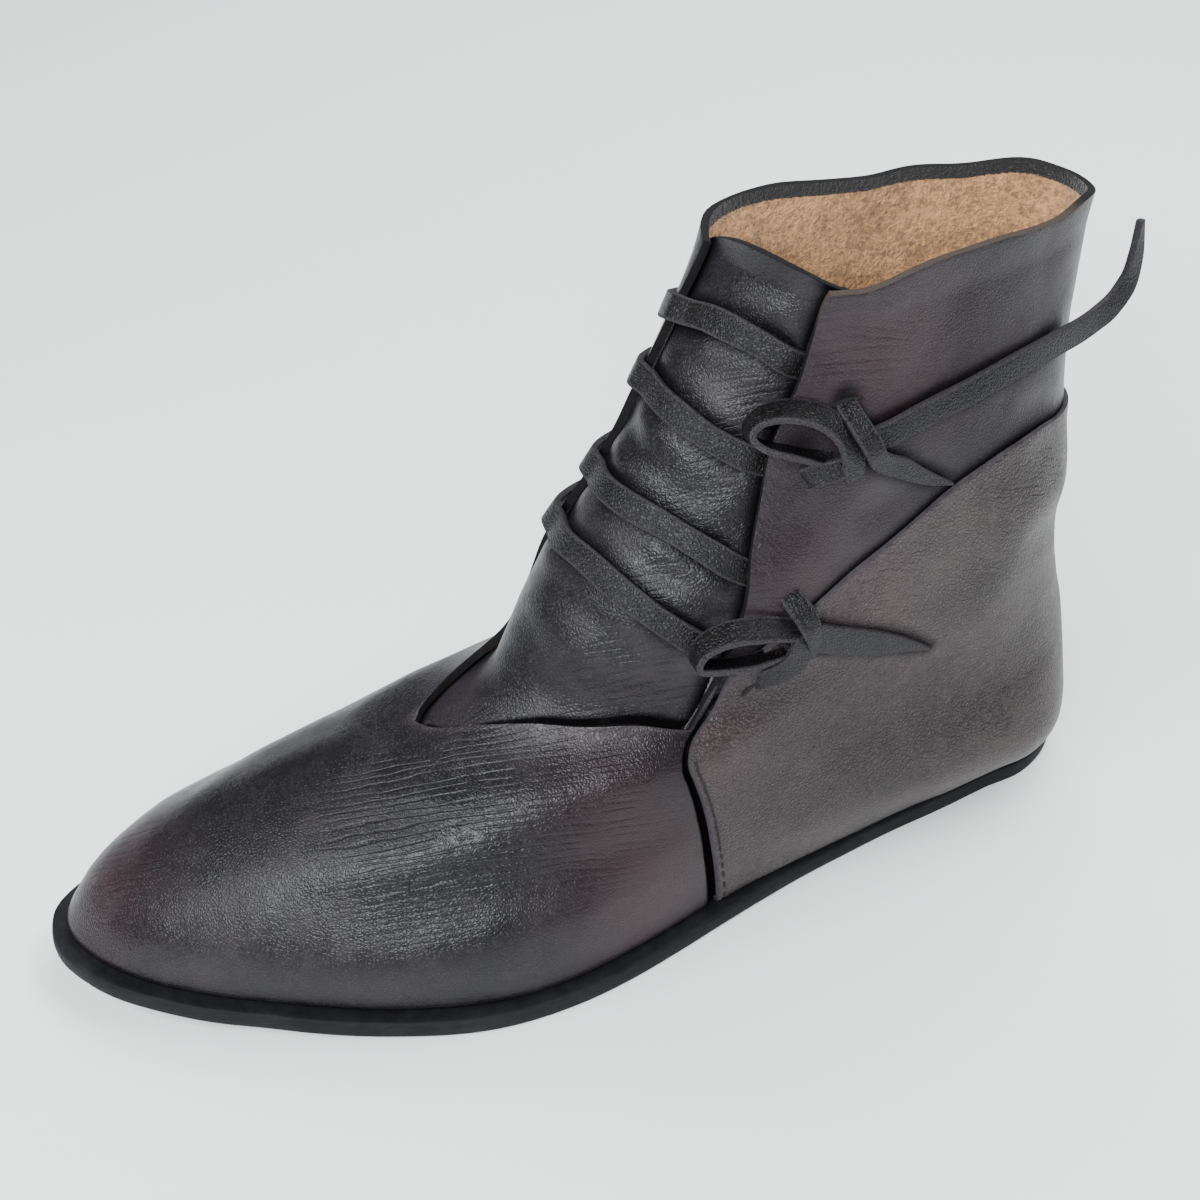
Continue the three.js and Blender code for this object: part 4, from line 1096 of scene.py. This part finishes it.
class BOOT_OT_bars(bpy.types.Operator):
    """Make the thongs' bars over the tongue and the painted shadows of the slits in the near flap"""
    bl_idname = "boot.bars"
    bl_label = "Bars and slits"

    def execute(self, context):
        sizes, finish = context.scene.boot_sizes, context.scene.boot_finish
        leather = thong_leather("Bar leather", finish.thong, scaled(finish.thong, 5.5))
        on_tongue = FLAP_LIFT - UPPER_WALL + BAR_OVER_TONGUE
        on_flap = FLAP_LIFT + BAR_OVER_FLAP
        for name, rows in BARS.items():
            first = np.array(rows[0]) - (np.array(rows[1]) - rows[0]) * 0.45
            u, v = along([first, *rows], np.linspace(0, 1, 90))
            near, far = edge_u(THROAT_NEAR, v), edge_u(THROAT_FAR, v)
            # It lies on the tongue, climbs on the far flap and goes in at its slit, and starts under the
            # near flap's edge
            off = on_tongue + (on_flap - on_tongue) * ramp(far - 0.04, far - 0.012, u)
            off = off - BAR_STARTS_UNDER * (1 - ramp(near - 0.004, near + 0.022, u))
            u = np.r_[u, u[-1] + np.array([0.006, 0.009, 0.010])]
            v = np.r_[v, np.repeat(v[-1], 3)]
            off = np.r_[off, on_flap - np.array([0.8, 2.6, 5.5])]
            centre = place(u, v, off)
            wide = unit(np.cross(unit(np.gradient(last(u, v), axis=0)), directions(u, v)[2]))
            thin = unit(np.cross(wide, unit(np.gradient(centre, axis=0))))
            sway = 1.0 + 0.04 * np.sin(np.arange(len(u)) * 0.21)
            sweep(name + "_strap", centre, wide, thin, sizes.thong_width / MM * sway, sizes.thong / MM,
                  leather, [name])
        self.slits()
        return {"FINISHED"}

    def slits(self):
        """Lens-shaped patches of painted shadow where the slits' dark openings are, laid on the flap: at a
        share s of the half length, each is the root of 1 - s * s of its greatest width."""
        reach, widest, floor, top, count = 4.1, 0.75, 0.5, 0.12, 15
        s = np.linspace(-1, 1, count)
        half = (widest * np.sqrt(np.clip(1 - s ** 2, 0, 1)) + 0.02)[:, None]
        points = []
        for u, v, lean in SLITS:
            _, up, out = (d[0] for d in directions(u, v))
            up = unit(up)
            angle = math.radians(lean)
            long = math.cos(angle) * up + math.sin(angle) * unit(np.cross(up, out))
            wide = unit(np.cross(long, out))
            height = flap_off(np.array([u]), np.array([v])) + (1.0 if v < 0.6 else 0.0)
            line = place(u, v, height)[0] + long * (s * reach)[:, None]
            points.append(np.stack([line - wide * half - out * floor, line - wide * half + out * top,
                                    line + wide * half + out * top, line + wide * half - out * floor], 1))
        ends = np.array([[3, 2, 1, 0], [4 * count - 4, 4 * count - 3, 4 * count - 2, 4 * count - 1]])
        one = np.concatenate([grid_faces(count, 4, closed=True), ends])
        faces = (one[None] + (np.arange(len(SLITS)) * 4 * count)[:, None, None]).reshape(-1, 4)
        piece = make_object("thong_slits", np.stack(points), [faces])
        piece.data.materials.append(plain("Slit shadow", (0.003, 0.003, 0.003), 1.0))


class BOOT_OT_knots(bpy.types.Operator):
    """Tie the two thongs: half-bows with their loops and pointed ends"""
    bl_idname = "boot.knots"
    bl_label = "Knots and ends"

    def execute(self, context):
        sizes, finish = context.scene.boot_sizes, context.scene.boot_finish
        leather = thong_leather("Thong leather", finish.thong, scaled(finish.thong, 6.5))
        straps, paths = {}, {}
        for name, rows, steps, replaces in (
                ("upper_thong_loop", UPPER_LOOP, 120, ["upper_thong_bow"]),
                ("upper_thong_root", UPPER_ROOT, 40, []),
                ("lower_thong_loop", LOWER_LOOP, 100, ["lower_thong_bow"]),
                ("lower_thong_root", LOWER_ROOT, 40, []),
                ("lower_thong_band", LOWER_BAND, 50, []),
                ("upper_thong_short_end_strap", UPPER_SHORT_END, 90, ["upper_thong_short_end"]),
                ("lower_thong_end_strap", LOWER_END, 80, ["lower_thong_end"]),
                ("upper_thong_long_end_strap", UPPER_LONG_END, 60, ["upper_thong_long_end"])):
            centre, wide, thin, share = strap_path(rows, steps)
            if rows is UPPER_LONG_END:
                centre, wide, thin, share = self.go_on_free(centre, thin, share)
            straps[name] = sweep(name, centre, wide, thin, sizes.thong_width / MM * share,
                                 sizes.thong / MM, leather, replaces)
            paths[name] = centre * MM
        return {"FINISHED"}

    def go_on_free(self, centre, thin, share):
        """The long end lies on the shaft and then goes on free: one smooth curve through both tables."""
        lying = np.concatenate([centre, thin, share[:, None]], 1)
        knots = np.concatenate([lying[::6], UPPER_LONG_END_FREE])
        columns = along(knots, np.linspace(0, 1, 130), measure=3)
        path = np.stack(columns[:3], -1)
        way = unit(np.gradient(path, axis=0))
        across = unit(np.cross(way, unit(np.stack(columns[3:6], -1))))
        return path, across, unit(np.cross(across, way)), columns[6]


class BOOT_OT_bottom(bpy.types.Operator):
    """Make the sole with its rounded side and the insole"""
    bl_idname = "boot.bottom"
    bl_label = "Sole and insole"

    def execute(self, context):
        finish = context.scene.boot_finish
        u = np.arange(420) / 420
        edge = last(u, 0.0)
        way = np.roll(edge, -1, axis=0) - np.roll(edge, 1, axis=0)
        out = unit(np.stack([-way[:, 1], way[:, 0], np.zeros(len(u))], -1))
        if np.sum(out * (edge - edge.mean(axis=0))) < 0:
            out = -out
        share = from_heel(edge[:, 1] - TO_ORIGIN[1])
        ledge = LEDGE_HEEL + (LEDGE_TOE - LEDGE_HEEL) * ramp(0.25, 0.5, share)
        wobble = 0.25 * np.sin(u * 2 * np.pi * 9 + 1.0) + 0.15 * np.sin(u * 2 * np.pi * 23)
        outline = edge + out * ledge[:, None] + out * wobble[:, None] * 0.6
        side = [(1.2, 0.0), (0.5, 0.12), (0.12, 0.6), (0.0, 1.3), (-0.12, 2.4), (0.0, 3.6), (0.18, 4.4),
                (0.6, 4.88), (1.3, 5.0), (3.2, 4.95)]
        self.plate("sole_side", outline, side, 0.0, SOLE, "sole_rubber", ["sole"],
                   sole_rubber("Sole rubber", finish.sole))
        insole = [(0.5, 0.0), (0.1, 0.3), (0.0, 1.0), (0.1, 1.7), (0.6, 2.0)]
        self.plate("insole_leather", edge - out * 3.6, insole, FEATHER + 0.15, INSOLE, "insole_leather",
                   ["insole"], suede("Insole suede", finish.suede))
        return {"FINISHED"}

    def plate(self, name, outline, side, foot, thickness, slot, replaces, finish):
        """A plate that follows the toe spring: rings by a share of the way to the middle, joined by a
        side profile of insets and heights, and closed by a point below and above."""
        centre = np.array([TO_ORIGIN[0], LENGTH * 0.1 + TO_ORIGIN[1], 0.0])
        arm = outline * [1, 1, 0] - centre
        reach = np.linalg.norm(arm, axis=1, keepdims=True)
        shares = [0.02, 0.3, 0.6, 0.85]
        levels = ([(share, 0.0, 0.0) for share in shares] + [(1.0, inset, height) for inset, height in side]
                  + [(share, 0.0, thickness) for share in shares[::-1]])
        rings = []
        for share, inset, height in levels:
            ring = centre + arm * share - arm / reach * inset
            ring[:, 2] = foot + height + spring_at(ring[:, 1] - TO_ORIGIN[1])
            rings.append(ring)
        points = np.concatenate([*rings, [rings[0].mean(axis=0)], [rings[-1].mean(axis=0)]])
        faces = tube_faces(len(rings), len(outline))
        x, y = outline[:, 0], outline[:, 1]
        if np.sum(x * np.roll(y, -1) - np.roll(x, -1) * y) < 0:
            faces = [f[:, ::-1] for f in faces]
        piece = make_object(name, points, faces, replaces)
        piece.data.materials.append(finish)


# Camera and stage

def direction(azimuth, elevation, distance=1.0):
    """A place that far off: the azimuth turns from the toe's side to the outer side."""
    azimuth, elevation = math.radians(azimuth), math.radians(elevation)
    return np.array([distance * math.cos(elevation) * math.sin(azimuth),
                     -distance * math.cos(elevation) * math.cos(azimuth), distance * math.sin(elevation)])


def hang(context, name, data, right, up, back, at):
    """A camera or lamp at a place, which looks the other way from back."""
    item = bpy.data.objects.new(name, data)
    matrix = np.eye(4)
    matrix[:3] = np.stack([right, up, back, at], -1)
    item.matrix_world = Matrix(matrix.tolist())
    context.scene.collection.objects.link(item)
    return item


class BOOT_OT_camera(bpy.types.Operator):
    """Set the camera at the photo's viewing angle"""
    bl_idname = "boot.camera"
    bl_label = "Camera"

    def execute(self, context):
        azimuth, elevation, roll = 62.5, 38.46, math.radians(0.03)
        # The frame's side and the focal length in pixels, and the sensor's side in millimetres
        picture, focal, sensor = 1200, 1826.7, 36.0
        target, distance = np.array([2.2893, 4.7, 60.0]) * MM, 0.47
        back = direction(azimuth, elevation)
        level = np.array([math.cos(math.radians(azimuth)), math.sin(math.radians(azimuth)), 0.0])
        upright = np.cross(back, level)
        right = math.cos(roll) * level + math.sin(roll) * upright
        up = math.cos(roll) * upright - math.sin(roll) * level
        data = bpy.data.cameras.new("Camera")
        data.sensor_width = sensor
        data.lens = focal / picture * sensor
        data.shift_x = -19.43 / picture
        data.shift_y = 70.9 / picture
        data.clip_start = 0.01
        context.scene.camera = hang(context, "Camera", data, right, up, back, target + back * distance)
        return {"FINISHED"}


class BOOT_OT_stage(bpy.types.Operator):
    """Lay the pale floor and hang the soft lights"""
    bl_idname = "boot.stage"
    bl_label = "Floor and lights"

    def execute(self, context):
        stage = context.scene.boot_stage
        floor = bpy.data.meshes.new("floor")
        floor.from_pydata([(-4, -4, 0), (4, -4, 0), (4, 4, 0), (-4, 4, 0)], [], [(0, 1, 2, 3)])
        floor.materials.append(Paint("Floor paper").surface(Base_Color=(*stage.floor, 1.0), Roughness=0.9))
        piece = bpy.data.objects.new("floor", floor)
        context.scene.collection.objects.link(piece)
        self.softbox(context, "Side softbox", direction(50, 38, 1.0), (0.62, 0.17), stage.side)
        self.softbox(context, "Front softbox", direction(5, 47, 1.0), (0.7, 0.26), stage.front)
        self.softbox(context, "Back softbox", direction(205, 54, 1.3), (1.7, 0.8), stage.back)
        world = bpy.data.worlds.new("Surroundings")
        world.use_nodes = True
        background = world.node_tree.nodes["Background"]
        background.inputs["Color"].default_value = (1.0, 1.0, 1.0, 1.0)
        background.inputs["Strength"].default_value = stage.sky
        context.scene.world = world
        return {"FINISHED"}

    def softbox(self, context, name, at, size, power):
        """A cool flat lamp that faces a point a little over the floor."""
        light = bpy.data.lights.new(name, "AREA")
        light.shape = "RECTANGLE"
        light.size, light.size_y = size
        light.energy = power
        light.color = (0.95, 0.98, 1.0)
        back = unit(at - [0.0, 0.0, 0.05])
        right = unit(np.cross([0.0, 0.0, 1.0], back))
        hang(context, name, light, right, np.cross(back, right), back, at)


class BOOT_PT_panel(bpy.types.Panel):
    """Lists the boot's pieces and sizes"""
    bl_label = "Boot"
    bl_idname = "BOOT_PT_panel"
    bl_space_type = "VIEW_3D"
    bl_region_type = "UI"
    bl_category = "Boot"

    def draw(self, context):
        for operator in OPERATORS:
            self.layout.operator(operator.bl_idname)
        for group in (context.scene.boot_sizes, context.scene.boot_finish, context.scene.boot_stage):
            for name in group.__annotations__:
                self.layout.prop(group, name)


OPERATORS = (BOOT_OT_camera, BOOT_OT_knots, BOOT_OT_bottom, BOOT_OT_upper, BOOT_OT_heel_quarter,
             BOOT_OT_tongue, BOOT_OT_bars, BOOT_OT_stage)
GROUPS = {"boot_sizes": BootSizes, "boot_finish": BootFinish, "boot_stage": StageSettings}


def register():
    for group in (*GROUPS.values(), *OPERATORS, BOOT_PT_panel):
        bpy.utils.register_class(group)
    for name, group in GROUPS.items():
        setattr(bpy.types.Scene, name, bpy.props.PointerProperty(type=group))


def unregister():
    for name in GROUPS:
        delattr(bpy.types.Scene, name)
    for group in (BOOT_PT_panel, *reversed(OPERATORS), *reversed(list(GROUPS.values()))):
        bpy.utils.unregister_class(group)


def main():
    """Makes every piece in order."""
    register()
    for operator in OPERATORS:
        group, name = operator.bl_idname.split(".")
        getattr(getattr(bpy.ops, group), name)()


if __name__ == "__main__":
    main()
